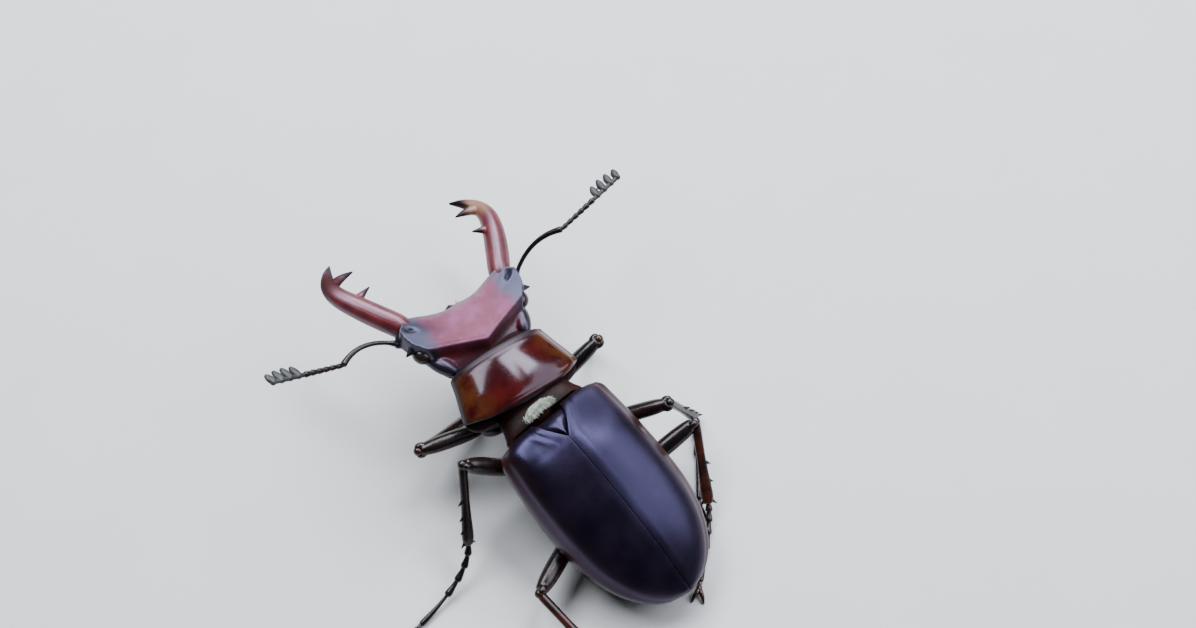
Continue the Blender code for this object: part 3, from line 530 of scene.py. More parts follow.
def grown_together(bm, voxel, softening):
    """Fuse everything in the bmesh into one closed skin, and soften it. Returns a mesh in millimetres."""
    rough = bpy.data.meshes.new("rough")
    bm.to_mesh(rough)
    bm.free()
    thing = linked("rough", rough)
    fuse = thing.modifiers.new("fuse", "REMESH")
    fuse.mode = "VOXEL"
    fuse.voxel_size = voxel
    soften = thing.modifiers.new("soften", "SMOOTH")
    soften.factor = 0.5
    soften.iterations = softening
    bpy.context.view_layer.update()
    graph = bpy.context.evaluated_depsgraph_get()
    mesh = bpy.data.meshes.new_from_object(thing.evaluated_get(graph))
    bpy.data.objects.remove(thing, do_unlink=True)
    bpy.data.meshes.remove(rough)
    return mesh


def flatten(mesh):
    """Keep every point on or above the floor."""
    for vert in mesh.vertices:
        vert.co.z = max(vert.co.z, 0.0)


def linked(name, data):
    """A new object in the scene."""
    thing = bpy.data.objects.new(name, data)
    bpy.context.collection.objects.link(thing)
    return thing


def store(mesh, name, values):
    """Keep a value for each point of a mesh, for its finish."""
    kept = mesh.attributes.new(name, "FLOAT", "POINT")
    kept.data.foreach_set("value", values)


def put(mesh, name, place, finish, nodes=None, sharp=SHARP_ANGLE):
    """A finished piece in metres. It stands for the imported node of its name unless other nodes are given."""
    if nodes is None:
        nodes = [name]
    mesh.name = "shaped_" + name
    mesh.transform(Matrix.Scale(MM, 4) @ FRAMES[place])
    mesh.shade_smooth()
    mesh.set_sharp_from_angle(angle=radians(sharp))
    mesh.materials.clear()
    mesh.materials.append(finish.material)
    thing = linked("shaped_" + name, mesh)
    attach(thing, "root")
    if nodes:
        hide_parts(*nodes)
    return thing


def shaped(bm, name, place, finish, nodes=None, sharp=SHARP_ANGLE):
    """A finished piece straight from its bmesh."""
    bmesh.ops.recalc_face_normals(bm, faces=bm.faces)
    mesh = bpy.data.meshes.new(name)
    bm.to_mesh(mesh)
    bm.free()
    return put(mesh, name, place, finish, nodes, sharp)


# ---- finishes

class Link:
    """A socket of a material that can be used in sums."""

    def __init__(self, finish, socket):
        self.finish = finish
        self.socket = socket

    def maths(self, operation, first, second):
        """A Math node on two values."""
        return self.finish.node("ShaderNodeMath", {"operation": operation}, {0: first, 1: second})

    def __add__(self, other):
        return self.maths("ADD", self, other)

    def __radd__(self, other):
        return self.maths("ADD", other, self)

    def __sub__(self, other):
        return self.maths("SUBTRACT", self, other)

    def __rsub__(self, other):
        return self.maths("SUBTRACT", other, self)

    def __mul__(self, other):
        return self.maths("MULTIPLY", self, other)

    def __rmul__(self, other):
        return self.maths("MULTIPLY", other, self)

    def larger(self, other):
        """The larger of two values."""
        return self.maths("MAXIMUM", self, other)


class Finish:
    """A material, its slot, and the nodes that feed its shader."""

    def __init__(self, name, slot, specular, sheen=WHITE, **constants):
        self.slot = slot
        self.material = bpy.data.materials.new(name)
        self.material.use_nodes = True
        self.tree = self.material.node_tree
        self.shader = self.tree.nodes["Principled BSDF"]
        constants.update(Specular_IOR_Level=specular, Specular_Tint=sheen)
        for socket, value in constants.items():
            self.shader.inputs[socket.replace("_", " ")].default_value = value
        self.place = self.node("ShaderNodeTexCoord", {}, {}, "Object")

    def node(self, kind, settings, inputs, output=0):
        """A node with its settings made, its sockets fed, and one of its outputs taken."""
        made = self.tree.nodes.new(kind)
        for name, value in settings.items():
            setattr(made, name, value)
        for name, value in inputs.items():
            if isinstance(value, Link):
                self.tree.links.new(value.socket, made.inputs[name])
            else:
                made.inputs[name].default_value = value
        return Link(self, made.outputs[output])

    def feed(self, socket, value):
        """Drive one of the shader's sockets."""
        self.tree.links.new(value.socket, self.shader.inputs[socket])

    def noise(self, size, detail=3.0):
        """Cloudy values about 0.5 whose patches are about size millimetres across."""
        return self.node("ShaderNodeTexNoise", {}, {
            "Vector": self.place, "Scale": 1 / (size * MM), "Detail": detail, "Roughness": 0.55,
        }, "Fac")

    def dots(self, size):
        """Distance to the nearest of many points about size millimetres apart, in units of that size."""
        return self.node("ShaderNodeTexVoronoi", {"feature": "F1"}, {
            "Vector": self.place, "Scale": 1 / (size * MM),
        }, "Distance")

    def fade(self, value, start, end):
        """0 below start, 1 above end, soft between."""
        return self.node("ShaderNodeMapRange", {"interpolation_type": "SMOOTHSTEP"}, {
            "Value": value, "From Min": start, "From Max": end,
        }, "Result")

    def near(self, place, point, reach):
        """1 at a point of a frame, fading to 0 between the two distances in millimetres."""
        spot = FRAMES[place] @ point * MM
        far = self.node("ShaderNodeVectorMath", {"operation": "DISTANCE"}, {0: self.place, 1: spot}, "Value")
        return 1 - self.fade(far, reach[0] * MM, reach[1] * MM)

    def attribute(self, name):
        """A value stored on the piece's points."""
        return self.node("ShaderNodeAttribute", {"attribute_name": name}, {}, "Fac")

    def mix(self, share, first, second):
        """One colour fading into another."""
        first, second = (value if isinstance(value, Link) else (*value, 1.0) for value in (first, second))
        return self.node("ShaderNodeMix", {"data_type": "RGBA"}, {6: first, 7: second, 0: share}, 2)

    def cloud(self, size, end=0.7):
        """Soft patches from 0 to 1, about size millimetres across."""
        return self.fade(self.noise(size), 0.35, end)

    def uneven(self, level, spread, size=0.35):
        """A value that varies finely between the level and the level with its spread."""
        return level + spread * self.noise(size, 4.0)

    def bump(self, height, strength, depth):
        """Relief of the given depth in millimetres."""
        self.feed("Normal", self.node("ShaderNodeBump", {}, {
            "Height": height, "Strength": strength, "Distance": depth * MM,
        }, "Normal"))

    def punctures(self, size, depth, share=0.8, fine=(0.08, 0.35), broad=(1.2, 1.2), end=0.35):
        """Fine pits about size millimetres apart, and fine and broad unevenness as (size, height)."""
        height = self.fade(self.dots(size), 0.05, end) * share
        for patch, rise in (fine, broad):
            height = height + self.noise(patch) * rise
        self.bump(height, 0.5, depth)


# Colours are linear, and a pair is the darker and the lighter patches of a clouded surface. Spots are
# (place, (distance where it is full, distance where it ends)).
CASE_BLACK = ((0.003, 0.002, 0.004), (0.007, 0.004, 0.009))
# Rim brown: partly the case's own colour, partly a painted reflection.
CASE_RIM_BROWN_AND_REFLECTION = (0.03, 0.01, 0.006)
CASE_SHEEN = (0.52, 0.48, 1.0, 1.0)
CASE_DULL = ((-3.1, -1.3, 0.0), (0.6, 3.0))
MANDIBLE_RED = ((0.06, 0.005, 0.006), (0.11, 0.012, 0.012))
MANDIBLE_BLACK = (0.008, 0.005, 0.006)
MANDIBLE_SHEEN = (1.0, 0.78, 0.98, 1.0)
MANDIBLE_BEND = ((7.7, 12.5, 0.2), (0.5, 2.3))
# Bend colours are painted light: dark brown on the left is painted shade, tawny on the right is a painted
# reflection.
MANDIBLE_BEND_SHADE_AND_GLINT = {"left": (0.04, 0.008, 0.005), "right": (0.2, 0.1, 0.035)}
MANDIBLE_BEND_SHARE = {"left": 1.0, "right": 0.85}
MANDIBLE_BEND_ROUGHNESS = {"left": 0.3, "right": 0.1}
MANDIBLE_DARK = (
    ((5.7, 13.4, 0.0), (0.9, 2.1)),
    ((6.3, 14.7, -0.5), (0.3, 1.5)),
    ((5.2, 10.0, 0.9), (0.6, 1.6)),
    ((5.2, 4.7, -0.4), (0.6, 1.3)),
)
CHEST_RED = ((0.022, 0.002, 0.003), (0.05, 0.005, 0.004))
# Tawny side colour: partly the shield's own colour, partly a painted warm reflection.
CHEST_SIDE_TAWNY_AND_REFLECTION = (0.07, 0.024, 0.006)
CHEST_BLACK = (0.006, 0.004, 0.005)
CHEST_SHEEN = (0.9, 0.85, 1.0, 1.0)
NAPE_RED = ((0.02, 0.002, 0.002), (0.045, 0.005, 0.004))
NAPE_GLOSS = ((-1.5, 0.6, -0.9), (0.6, 2.8))
# Plateau lilac is painted sky reflection; it also tints the plateau's metallic sheen.
PLATEAU_SKY_REFLECTION_LILAC = ((0.07, 0.012, 0.02), (0.1, 0.024, 0.055))
# Painted blue-grey sheen on the front corners of the head.
CORNER_SHEEN_BLUE = (0.04, 0.044, 0.068)
# Painted highlight: pale grey along the front edge of the plateau.
FRONT_HIGHLIGHT_PALE = (0.1, 0.095, 0.1)
# Painted shade: black laid on the sides of the head, the nape, below the plateau margin and in the corner pits.
HEAD_SHADE_BLACK = (0.006, 0.005, 0.008)
HEAD_SHEEN = (0.8, 0.66, 1.0, 1.0)
EYE_BLACK = ((0.006, 0.004, 0.004), (0.02, 0.012, 0.01))
FLOOR_PALE = ((0.6, 0.595, 0.58), (0.64, 0.635, 0.62))


def shell_finish(name, colours, roughness, pits=0.14, depth=0.02, specular=0.5, patch=2.5, slot="limb"):
    """Insect shell: a cloudy dark colour, fine punctures and slightly uneven gloss."""
    finish = Finish(name, slot, specular)
    finish.feed("Base Color", finish.mix(finish.cloud(patch, 0.68), *colours))
    finish.feed("Roughness", finish.uneven(roughness - 0.06, 0.12))
    finish.punctures(pits, depth)
    return finish


def case_finish():
    """Wing case: black with a blue-violet sheen, brown at its rim (partly its own colour, partly a painted
    reflection), and one dull spot at the right base.
    """
    finish = Finish("wing_case_shell", "wing_case", 0.46, CASE_SHEEN)
    body = finish.mix(finish.cloud(2.5, 0.68), *CASE_BLACK)
    finish.feed("Base Color", finish.mix(finish.attribute("rim"), body, CASE_RIM_BROWN_AND_REFLECTION))
    place, reach = CASE_DULL
    finish.feed("Roughness", finish.uneven(0.25, 0.1) + 0.35 * finish.near("trunk", at(*place), reach))
    finish.punctures(0.11, 0.008)
    return finish


def mandible_finish(side):
    """Mandible: deep red with black ends and root; its bend is painted dark brown on the left as painted shade,
    and tawny on the right as a painted reflection.
    """
    finish = Finish(f"mandible_{side}_shell", "mandible", 0.95, MANDIBLE_SHEEN)
    body = finish.mix(finish.cloud(1.6), *MANDIBLE_RED)
    place, reach = MANDIBLE_BEND
    # turn marks the bend, where painted shade is mixed in on the left and a painted reflection on the right; it
    # also sets roughness and metal.
    turn = finish.near("head", beside(side, place), reach)
    body = finish.mix(turn * MANDIBLE_BEND_SHARE[side], body, MANDIBLE_BEND_SHADE_AND_GLINT[side])
    first, *others = [finish.near("head", beside(side, place), reach) for place, reach in MANDIBLE_DARK]
    dark = finish.fade(sum(others, first), 0.0, 1.0)
    finish.feed("Base Color", finish.mix(dark, body, MANDIBLE_BLACK))
    metal = dark.larger(turn) if side == "left" else dark
    finish.feed("Metallic", metal * 0.8)
    finish.feed("Roughness", finish.uneven(0.3, 0.16, 0.3) + turn * MANDIBLE_BEND_ROUGHNESS[side])
    finish.punctures(0.16, 0.018, 1.0, (0.09, 0.4), (0.8, 1.0))
    return finish


def chest_finish():
    """Chest shield: glossy dark red, tawny at its sides (partly its own colour, partly a painted warm
    reflection), black and dull along its margins.
    """
    finish = Finish("chest_shell", "chest", 0.34, CHEST_SHEEN)
    body = finish.mix(finish.cloud(2.2), *CHEST_RED)
    # The side tone lays on the tawny that is partly painted reflection.
    tawny = finish.attribute("side") * finish.fade(finish.noise(1.5), 0.3, 0.6)
    body = finish.mix(tawny, body, CHEST_SIDE_TAWNY_AND_REFLECTION)
    finish.feed("Base Color", finish.mix(finish.attribute("rim"), body, CHEST_BLACK))
    finish.feed("Roughness", finish.uneven(0.1, 0.06) + 0.4 * finish.attribute("rim"))
    finish.punctures(0.17, 0.005, 0.8, (0.09, 0.3), (1.4, 1.0), 0.3)
    return finish


def head_finish():
    """Head: a satin plateau painted lilac as its sky reflection, front corners painted blue-grey as a sheen, a
    painted pale highlight along the front edge, dark red slopes, and painted black shade on the sides.
    """
    finish = Finish("head_shell", "head", 0.52, HEAD_SHEEN, Coat_Roughness=0.36)
    plateau = finish.attribute("plateau")
    cloud = finish.cloud(1.8)
    # The plateau mask lays the painted lilac sky reflection on the top; the slopes behind the crest keep the
    # dark red.
    body = finish.mix(plateau, finish.mix(cloud, *NAPE_RED), finish.mix(cloud, *PLATEAU_SKY_REFLECTION_LILAC))
    # The front corners are painted blue-grey as a sheen.
    body = finish.mix(finish.attribute("corner"), body, CORNER_SHEEN_BLUE)
    # The front edge is painted pale as a highlight.
    body = finish.mix(finish.attribute("edge") * 0.6, body, FRONT_HIGHLIGHT_PALE)
    # The shade tone lays painted black shade on the sides, nape, underside and pits.
    finish.feed("Base Color", finish.mix(finish.attribute("shade"), body, HEAD_SHADE_BLACK))
    finish.feed("Roughness", finish.uneven(0.28, 0.12, 0.3) + 0.1 * plateau)
    finish.feed("Metallic", plateau * 0.6)
    place, reach = NAPE_GLOSS
    finish.feed("Coat Weight", plateau * 0.12 + finish.near("head", at(*place), reach) * (1 - plateau))
    finish.punctures(0.2, 0.01, 1.0, (0.1, 0.5), (0.9, 1.0))
    return finish


def eye_finish():
    """Eye: black, with fine facets."""
    finish = Finish("eye_facets", "eye", 0.35, Coat_Weight=0.2, Coat_Roughness=0.12)
    finish.feed("Base Color", finish.mix(finish.noise(0.4), *EYE_BLACK))
    finish.feed("Roughness", 0.22 + 0.08 * finish.noise(0.2))
    finish.bump(1 - finish.fade(finish.dots(0.05), 0.1, 0.6), 0.5, 0.006)
    return finish


def hair_finish(name, root, tip):
    """Bristles: darker in the clumps, lighter between."""
    finish = Finish(name, "limb", 0.4)
    finish.feed("Base Color", finish.mix(finish.fade(finish.noise(0.3), 0.3, 0.7), root, tip))
    finish.feed("Roughness", 0.5 + 0.15 * finish.noise(0.5))
    return finish


def floor_finish():
    """Plain pale card."""
    finish = Finish("pale_floor", "floor", 0.3)
    finish.feed("Base Color", finish.mix(finish.noise(8.0), *FLOOR_PALE))
    finish.feed("Roughness", 0.6 + 0.1 * finish.noise(1.0))
    finish.bump(finish.noise(0.25), 0.2, 0.01)
    return finish


LIMB = shell_finish("limb_shell", ((0.004, 0.003, 0.004), (0.012, 0.004, 0.003)), 0.26, 0.16, 0.012, 0.36)
SHIN = shell_finish("shin_shell", ((0.007, 0.003, 0.003), (0.045, 0.011, 0.007)), 0.2, 0.16, 0.012, patch=1.6)
HORN = shell_finish("claw_horn", ((0.006, 0.003, 0.003), (0.04, 0.012, 0.007)), 0.22, 0.2, 0.008)
UNDERSIDE = shell_finish("belly_shell", ((0.005, 0.003, 0.003), (0.02, 0.006, 0.004)), 0.42, 0.22, 0.03, 0.08,
                         slot="belly")
CLUB = shell_finish("club_velvet", ((0.008, 0.009, 0.009), (0.03, 0.032, 0.03)), 0.5, 0.08)
CASE = case_finish()
CHEST = chest_finish()
HEAD = head_finish()
EYE = eye_finish()
STRAW = hair_finish("straw_bristles", (0.26, 0.28, 0.22), (0.58, 0.62, 0.55))
AMBER = hair_finish("amber_bristles", (0.3, 0.12, 0.03), (0.55, 0.28, 0.08))


# ---- sections

def arch_point(half_width, ridge, edge, angle):
    """A point of a roof line: angle 0 is the ridge and a quarter turn the edge."""
    return half_width * sin(angle) ** ARCH_BULGE, edge + (ridge - edge) * max(cos(angle), 0.0) ** ARCH_CROWN


def under_line(width, edge, bottom, steps, first=1):
    """The lower half of a half section, from its edge to its bottom middle."""
    angles = [pi / 2 * k / steps for k in range(first, steps + 1)]
    return [
        (width * max(cos(angle), 0.0) ** BELLY_BULGE, edge + (bottom - edge) * sin(angle) ** BELLY_CROWN)
        for angle in angles
    ]


def hoop(width, ridge, edge, bottom):
    """Half a section of the trunk, from top middle to bottom middle."""
    roof = [arch_point(width, ridge, edge, pi / 2 * k / TRUNK_STEPS) for k in range(TRUNK_STEPS + 1)]
    return roof + under_line(width, edge, bottom, TRUNK_STEPS)


def whole(half):
    """A closed section from its half, whose rows begin with the distance across."""
    return half + [(-across, *rest) for across, *rest in reversed(half[1:-1])]


# ---- trunk

def case_half_width(t):
    """Half the width over the wing cases at a share t of their length."""
    if t < CASE_WIDEST:
        short = (CASE_WIDEST - t) / CASE_WIDEST
        width = CASE_HALF_WIDTH - (CASE_HALF_WIDTH - CASE_SHOULDER) * short ** 2
        return width * (1 - rounding(CASE_CORNER, t))
    s = (t - CASE_WIDEST) / (1 - CASE_WIDEST)
    return CASE_HALF_WIDTH * sqrt(max(1 - s ** CASE_TAIL_POWER, 0.0))


def body_half_width(t):
    """Half the width of the trunk under the wing cases."""
    return case_half_width(t) - CASE_THICKNESS - GAP


def case_ahead(t, share=0.0):
    """How far ahead a share t of the wing-case length lies; the base bows forward on each case."""
    bow = CASE_BASE_BOW * sin(pi * min(share, 1.0)) * taper(t, CASE_BASE_BOW_REACH)
    return CASE_BASE - t * CASE_LENGTH + bow


def scutellum_half_width(ahead):
    """Half the width of the little plate between the wing-case bases, at a place along it."""
    s = (SCUTELLUM_BASE - ahead) / (SCUTELLUM_BASE + SCUTELLUM_TIP)
    if s > 1:
        return 0.0
    if s < SCUTELLUM_WAIST:
        return SCUTELLUM_HALF_WIDTH * (1 - SCUTELLUM_NARROWING * max(s, 0.0) / SCUTELLUM_WAIST)
    waist = SCUTELLUM_HALF_WIDTH * (1 - SCUTELLUM_NARROWING)
    return waist * (1 - (s - SCUTELLUM_WAIST) / (1 - SCUTELLUM_WAIST))


def case_outer(t, width, ridge, edge, inside):
    """The outer line of a wing case's section, and how near each point is to the rim."""
    line, tones = [], []
    for k in range(CASE_STEPS + 1):
        across, up = arch_point(width, ridge, edge, pi / 2 * (k / CASE_STEPS) ** CASE_STEP_SPREAD)
        across = inside + (width - inside) * across / width
        share, seam = across / width, across - inside
        up += relief(SUTURE_RELIEF, seam, t) + relief(SHOULDER_RELIEF, across, t * CASE_LENGTH)
        up += SUTURE_ROOF * exp(-seam / SUTURE_ROOF_REACH) - rounding(CASE_BASE_ROUND, t)
        bead = sum(height * bell((share - place) * width, wide) for height, place, wide in RIM_BEAD)
        line.append((across + RIM_HEIGHT * bead, up + RIM_HEIGHT * 0.5 * bead))
        tones.append(bell((1 - share) * width, RIM_TONE_REACH))
    return line, tones


def case_inner(t, width, ridge, edge, inside):
    """The inner line of the section, from the rim back to the suture."""
    wall = CASE_WALL[0] + CASE_WALL[1] * min(1.0, t / CASE_WALL_REACH)
    hollow = width * max(1 - wall / width, 0.4)
    ceiling = edge + (ridge - edge) * max(1 - wall / (ridge - edge), 0.2)
    line = []
    for k in range(CASE_STEPS + 1):
        across, up = arch_point(hollow, ceiling, edge - 0.02, pi / 2 * (1 - k / CASE_STEPS))
        line.append((max(inside + (hollow - inside) * across / hollow, inside), up))
    return line


def wing_case(side):
    """One wing case: a smooth shell with a beaded outer rim and a fine groove beside the suture."""
    full, end = CASE_LAST_ROWS
    sections, rim = [], []
    for i in range(CASE_ROWS + 1):
        t = full * (i / CASE_ROWS) ** CASE_ROW_SPREAD if i < CASE_ROWS else end
        slot = scutellum_half_width(case_ahead(t))
        inside = SUTURE_HALF_GAP + (slot + SCUTELLUM_SLACK if slot > 0 else 0.0)
        width = case_half_width(t)
        shape = (t, width, along(CASE_RIDGE, t), along(CASE_EDGE, t), inside)
        outer, tones = case_outer(*shape)
        section = outer + case_inner(*shape)
        sections.append([
            at(SIDES[side] * across, case_ahead(t, across / width), up) for across, up in section
        ])
        rim += tones + [RIM_TONE_INSIDE] * (CASE_STEPS + 1)
    bm = lofted(sections)
    rim += [RIM_TONE_INSIDE] * (len(bm.verts) - len(rim))
    thing = shaped(bm, "wing_case_" + side, "trunk", CASE, sharp=SHIELD_SHARP_ANGLE)
    store(thing.data, "rim", rim)


def scutellum():
    """The small three-sided plate between the wing-case bases, gently domed."""
    sections = []
    for k in range(SCUTELLUM_ROWS + 1):
        s = SCUTELLUM_LAST * k / SCUTELLUM_ROWS
        ahead = SCUTELLUM_BASE - s * (SCUTELLUM_BASE + SCUTELLUM_TIP)
        half = max(scutellum_half_width(ahead) - 0.02, 0.03)
        top = along(CASE_RIDGE, (CASE_BASE - ahead) / CASE_LENGTH) + SCUTELLUM_LIFT
        drop = SCUTELLUM_ROUND * taper(s, SCUTELLUM_ROUND_REACH)
        section = [(half * n / 8, top - SCUTELLUM_DOME * (n / 8) ** 2 - drop) for n in range(-8, 9)]
        section += [(half, top - SCUTELLUM_DEPTH), (-half, top - SCUTELLUM_DEPTH)]
        sections.append([at(across, ahead, up) for across, up in section])
    shaped(lofted(sections), "scutellum", "trunk", CASE)


def trunk_section(t):
    """Half a section of the trunk under the wing cases."""
    ridge = along(CASE_RIDGE, t) - CASE_THICKNESS - GAP
    return hoop(max(body_half_width(t), 0.3), ridge, along(CASE_EDGE, t), along(BELLY, t))


def thorax():
    """Middle and hind thorax with its collar, keel groove and sutures."""
    sections = []
    for ahead, width, top, bottom in COLLAR:
        half = hoop(width, top, top - COLLAR_EDGE_DROP, bottom)
        sections.append([at(across, ahead, up) for across, up in whole(half)])
    for i in range(THORAX_ROWS + 1):
        t = THORAX_START + (THORAX_END - THORAX_START) * i / THORAX_ROWS
        half = trunk_section(t)
        wide = max(across for across, up in half)
        points = []
        for across, up in whole(half):
            if up < THORAX_RELIEF_LEVEL:
                up += relief(THORAX_RELIEF, across, t)
            points.append(at(across, case_ahead(t, abs(across) / wide), up))
        sections.append(points)
    shaped(lofted(sections), "thorax", "trunk", UNDERSIDE)


def abdomen():
    """Five belly plates, each slipping under the one before."""
    sections = []
    start = THORAX_END + GAP / CASE_LENGTH
    reach = (ABDOMEN_END - start) / ABDOMEN_RINGS
    for k in range(ABDOMEN_RINGS):
        for share, shrink in RING_PROFILE:
            t = start + reach * (k + share)
            scale = 1 - RING_STEP * shrink / max(body_half_width(t), 1.0)
            section = whole(trunk_section(t))
            sections.append([at(across * scale, case_ahead(t), up * scale) for across, up in section])
    shaped(lofted(sections), "abdomen", "trunk", UNDERSIDE)


# ---- chest

def chest_shares(rows):
    """Shares along the chest, closer together at both ends."""
    return [(1 - cos(pi * i / rows)) / 2 for i in range(rows + 1)]


def chest_place(across, s, up, undercut=0.0):
    """A point of the chest, with its bowed rear and front margins, and the rear face drawn in below."""
    share = min(1.0, abs(across) / along(CHEST_HALF_WIDTH, s)) ** 2
    bow = CHEST_REAR_BOW * share * (1 - s) ** 2 - CHEST_FRONT_BOW * share * s ** 2
    bow += undercut * max(0.0, along(CHEST_RIDGE, 0.0) - up) * taper(s, CHEST_UNDERCUT_REACH) ** 2
    return at(across, CHEST_REAR + s * CHEST_LENGTH + bow, up)


def shield_half(s):
    """Half a section of the chest shield, in rows of (across, up, rim tone, side tone); the side tone places
    the tawny that is partly painted reflection.
    """
    width = along(CHEST_HALF_WIDTH, s)
    ridge = along(CHEST_RIDGE, s)
    edge = along(CHEST_EDGE, s)
    end = min(s, 1 - s) * CHEST_LENGTH
    end_tone = bell(end, SHIELD_FRONT_REACH if s > 0.5 else SHIELD_REAR_REACH)
    tuck = rounding(SHIELD_TUCK, end)
    rows = []
    for k in range(SHIELD_STEPS + 1):
        across, up = arch_point(width - tuck, ridge - tuck, edge, pi / 2 * k / SHIELD_STEPS)
        share = across / width
        margin = (1 - share) * width
        bead = beads(SHIELD_BEAD, margin)
        across += SHIELD_BEAD_OUT * bead
        up += SHIELD_BEAD_UP * bead + beads(SHIELD_END_BEAD, end) + relief(SHIELD_RELIEF, across, s)
        rim_tone = max(bell(margin, SHIELD_RIM_REACH), end_tone)
        rows.append((across, up, rim_tone, ramp(share, SHIELD_SIDE_FADE)))
    return rows + [(0.0, edge - SHIELD_FOOT, 1.0, 0.0)]


def pronotum():
    """The chest shield: a glossy saddle with beaded margins and a faint midline."""
    sections, tones = [], []
    for s in chest_shares(SHIELD_ROWS):
        section = whole(shield_half(s))
        sections.append([chest_place(across, s, up, CHEST_UNDERCUT) for across, up, rim, side in section])
        tones += [(rim, side) for across, up, rim, side in section]
    bm = lofted(sections)
    tones += [(1.0, 0.0)] * (len(bm.verts) - len(tones))
    thing = shaped(bm, "pronotum", "chest", CHEST, sharp=SHIELD_SHARP_ANGLE)
    store(thing.data, "rim", [rim for rim, side in tones])
    store(thing.data, "side", [side for rim, side in tones])


def breast_plate():
    """The underside of the chest, with the ridge between the fore hips."""
    sections = []
    for s in chest_shares(BREAST_ROWS):
        edge = along(CHEST_EDGE, s) - SHIELD_FOOT - GAP * 0.4
        tuck = rounding(BREAST_TUCK, min(s, 1 - s) * CHEST_LENGTH)
        width = along(CHEST_HALF_WIDTH, s) - BREAST_INSET - tuck
        half = [(0.0, edge + GAP * 0.5)]
        for across, up in under_line(width, edge, along(CHEST_BELLY, s) + tuck, BREAST_STEPS, 0):
            half.append((across, up + relief(BREAST_KEEL, across, s)))
        sections.append([chest_place(across, s, up) for across, up in whole(half)])
    shaped(lofted(sections), "breast_plate", "chest", UNDERSIDE)


def neck():
    """The dark skin between the chest and the head."""
    rear_up, front_up = NECK_LEVELS
    rear = at(0, CHEST_REAR + CHEST_LENGTH - NECK_OVERLAP, rear_up)
    front = FRAMES["chest"].inverted() @ FRAMES["head"] @ at(0, HEAD_REAR + NECK_OVERLAP, front_up)
    bm = bmesh.new()
    tube(bm, [(rear.lerp(front, share), width, depth) for share, width, depth in NECK], 40)
    shaped(bm, "neck_skin", "chest", UNDERSIDE, [])


# ---- head

def head_front(across):
    """How far ahead the front margin of the head runs."""
    return along(HEAD_FRONT, min(abs(across), HEAD_FRONT[-1][0]))


def pit_distance(across, ahead):
    """Distance from the slanting pit in a front corner of the head, shorter along its length."""
    slant = radians(PIT_SLANT)
    out, further = abs(across) - PIT_PLACE[0], ahead - PIT_PLACE[1]
    along_pit = out * cos(slant) + further * sin(slant)
    across_pit = further * cos(slant) - out * sin(slant)
    return sqrt((PIT_STRETCH * along_pit) ** 2 + across_pit ** 2)


def crest_line(across):
    """How far ahead the crest runs that ends the plateau of the head."""
    blunt = sqrt(across ** 2 + CREST_BLUNT ** 2) - CREST_BLUNT
    return CREST_MIDDLE + CREST_SWEEP * (blunt / CREST_SWEEP_WIDTH) ** CREST_SWEEP_POWER


def head_top(across, ahead):
    """Height of the top of the head: a dished plateau, a step behind its crest, a pit at each corner."""
    rise = (across / HEAD_FRONT[-1][0]) ** 2 * sqrt(max(ahead, 0.0) / HEAD_FRONT[0][1])
    crest = crest_line(across)
    behind = max(0.0, crest - ahead)
    up = PLATEAU_MIDDLE + PLATEAU_RISE * rise
    up -= CREST_STEP * (1 - bell(behind, CREST_STEP_REACH)) + CREST_SLOPE * behind
    up -= CREST_HOLLOW * (1 - exp(-behind / CREST_HOLLOW_REACH))
    up += beads(CREST_BEAD, ahead - crest) + beads(FRONT_BEAD, ahead - head_front(across))
    return up + beads(PIT_BEAD, pit_distance(across, ahead))


def head_place(u, v, level):
    """A point of the head for u across, v from rear to front, and level 0 top, 1 cheek, 2 jaw."""
    across = u * along(HEAD_HALF_WIDTH, v)
    ahead = HEAD_REAR + v * (head_front(across) - HEAD_REAR)
    up = head_top(across, ahead)
    if level == 1:
        across += u * CHEEK_BULGE
        up = min(CHEEK_LEVEL, up - CHEEK_DROP)
    if level == 2:
        across *= JAW_NARROWING
        up = along(JAW_LEVEL, v)
        ahead = HEAD_REAR + v * (ahead - HEAD_REAR)
    ahead -= up * tan(radians(HEAD_TURN[1])) * (1 - v) ** 2
    return at(across, ahead, up)


def head_box():
    """The head without its lumps: a sheet drawn down twice into a closed box, and shaped."""
    bm = bmesh.new()
    bmesh.ops.create_grid(bm, x_segments=72, y_segments=44, size=1.0)
    levels = {vert: 0 for vert in bm.verts}
    under = bm.faces[:]
    for level in (1, 2):
        drawn = bmesh.ops.extrude_face_region(bm, geom=under, use_keep_orig=level == 1)["geom"]
        levels.update({item: level for item in drawn if isinstance(item, bmesh.types.BMVert)})
        if level == 2:
            bmesh.ops.delete(bm, geom=under, context="FACES_ONLY")
        under = [item for item in drawn if isinstance(item, bmesh.types.BMFace)]
    for vert in bm.verts:
        vert.co = head_place(vert.co.x, (1 - vert.co.y) / 2, levels[vert])
    bmesh.ops.delete(bm, geom=[vert for vert in bm.verts if not vert.link_faces], context="VERTS")
    bmesh.ops.recalc_face_normals(bm, faces=bm.faces)
    return bm


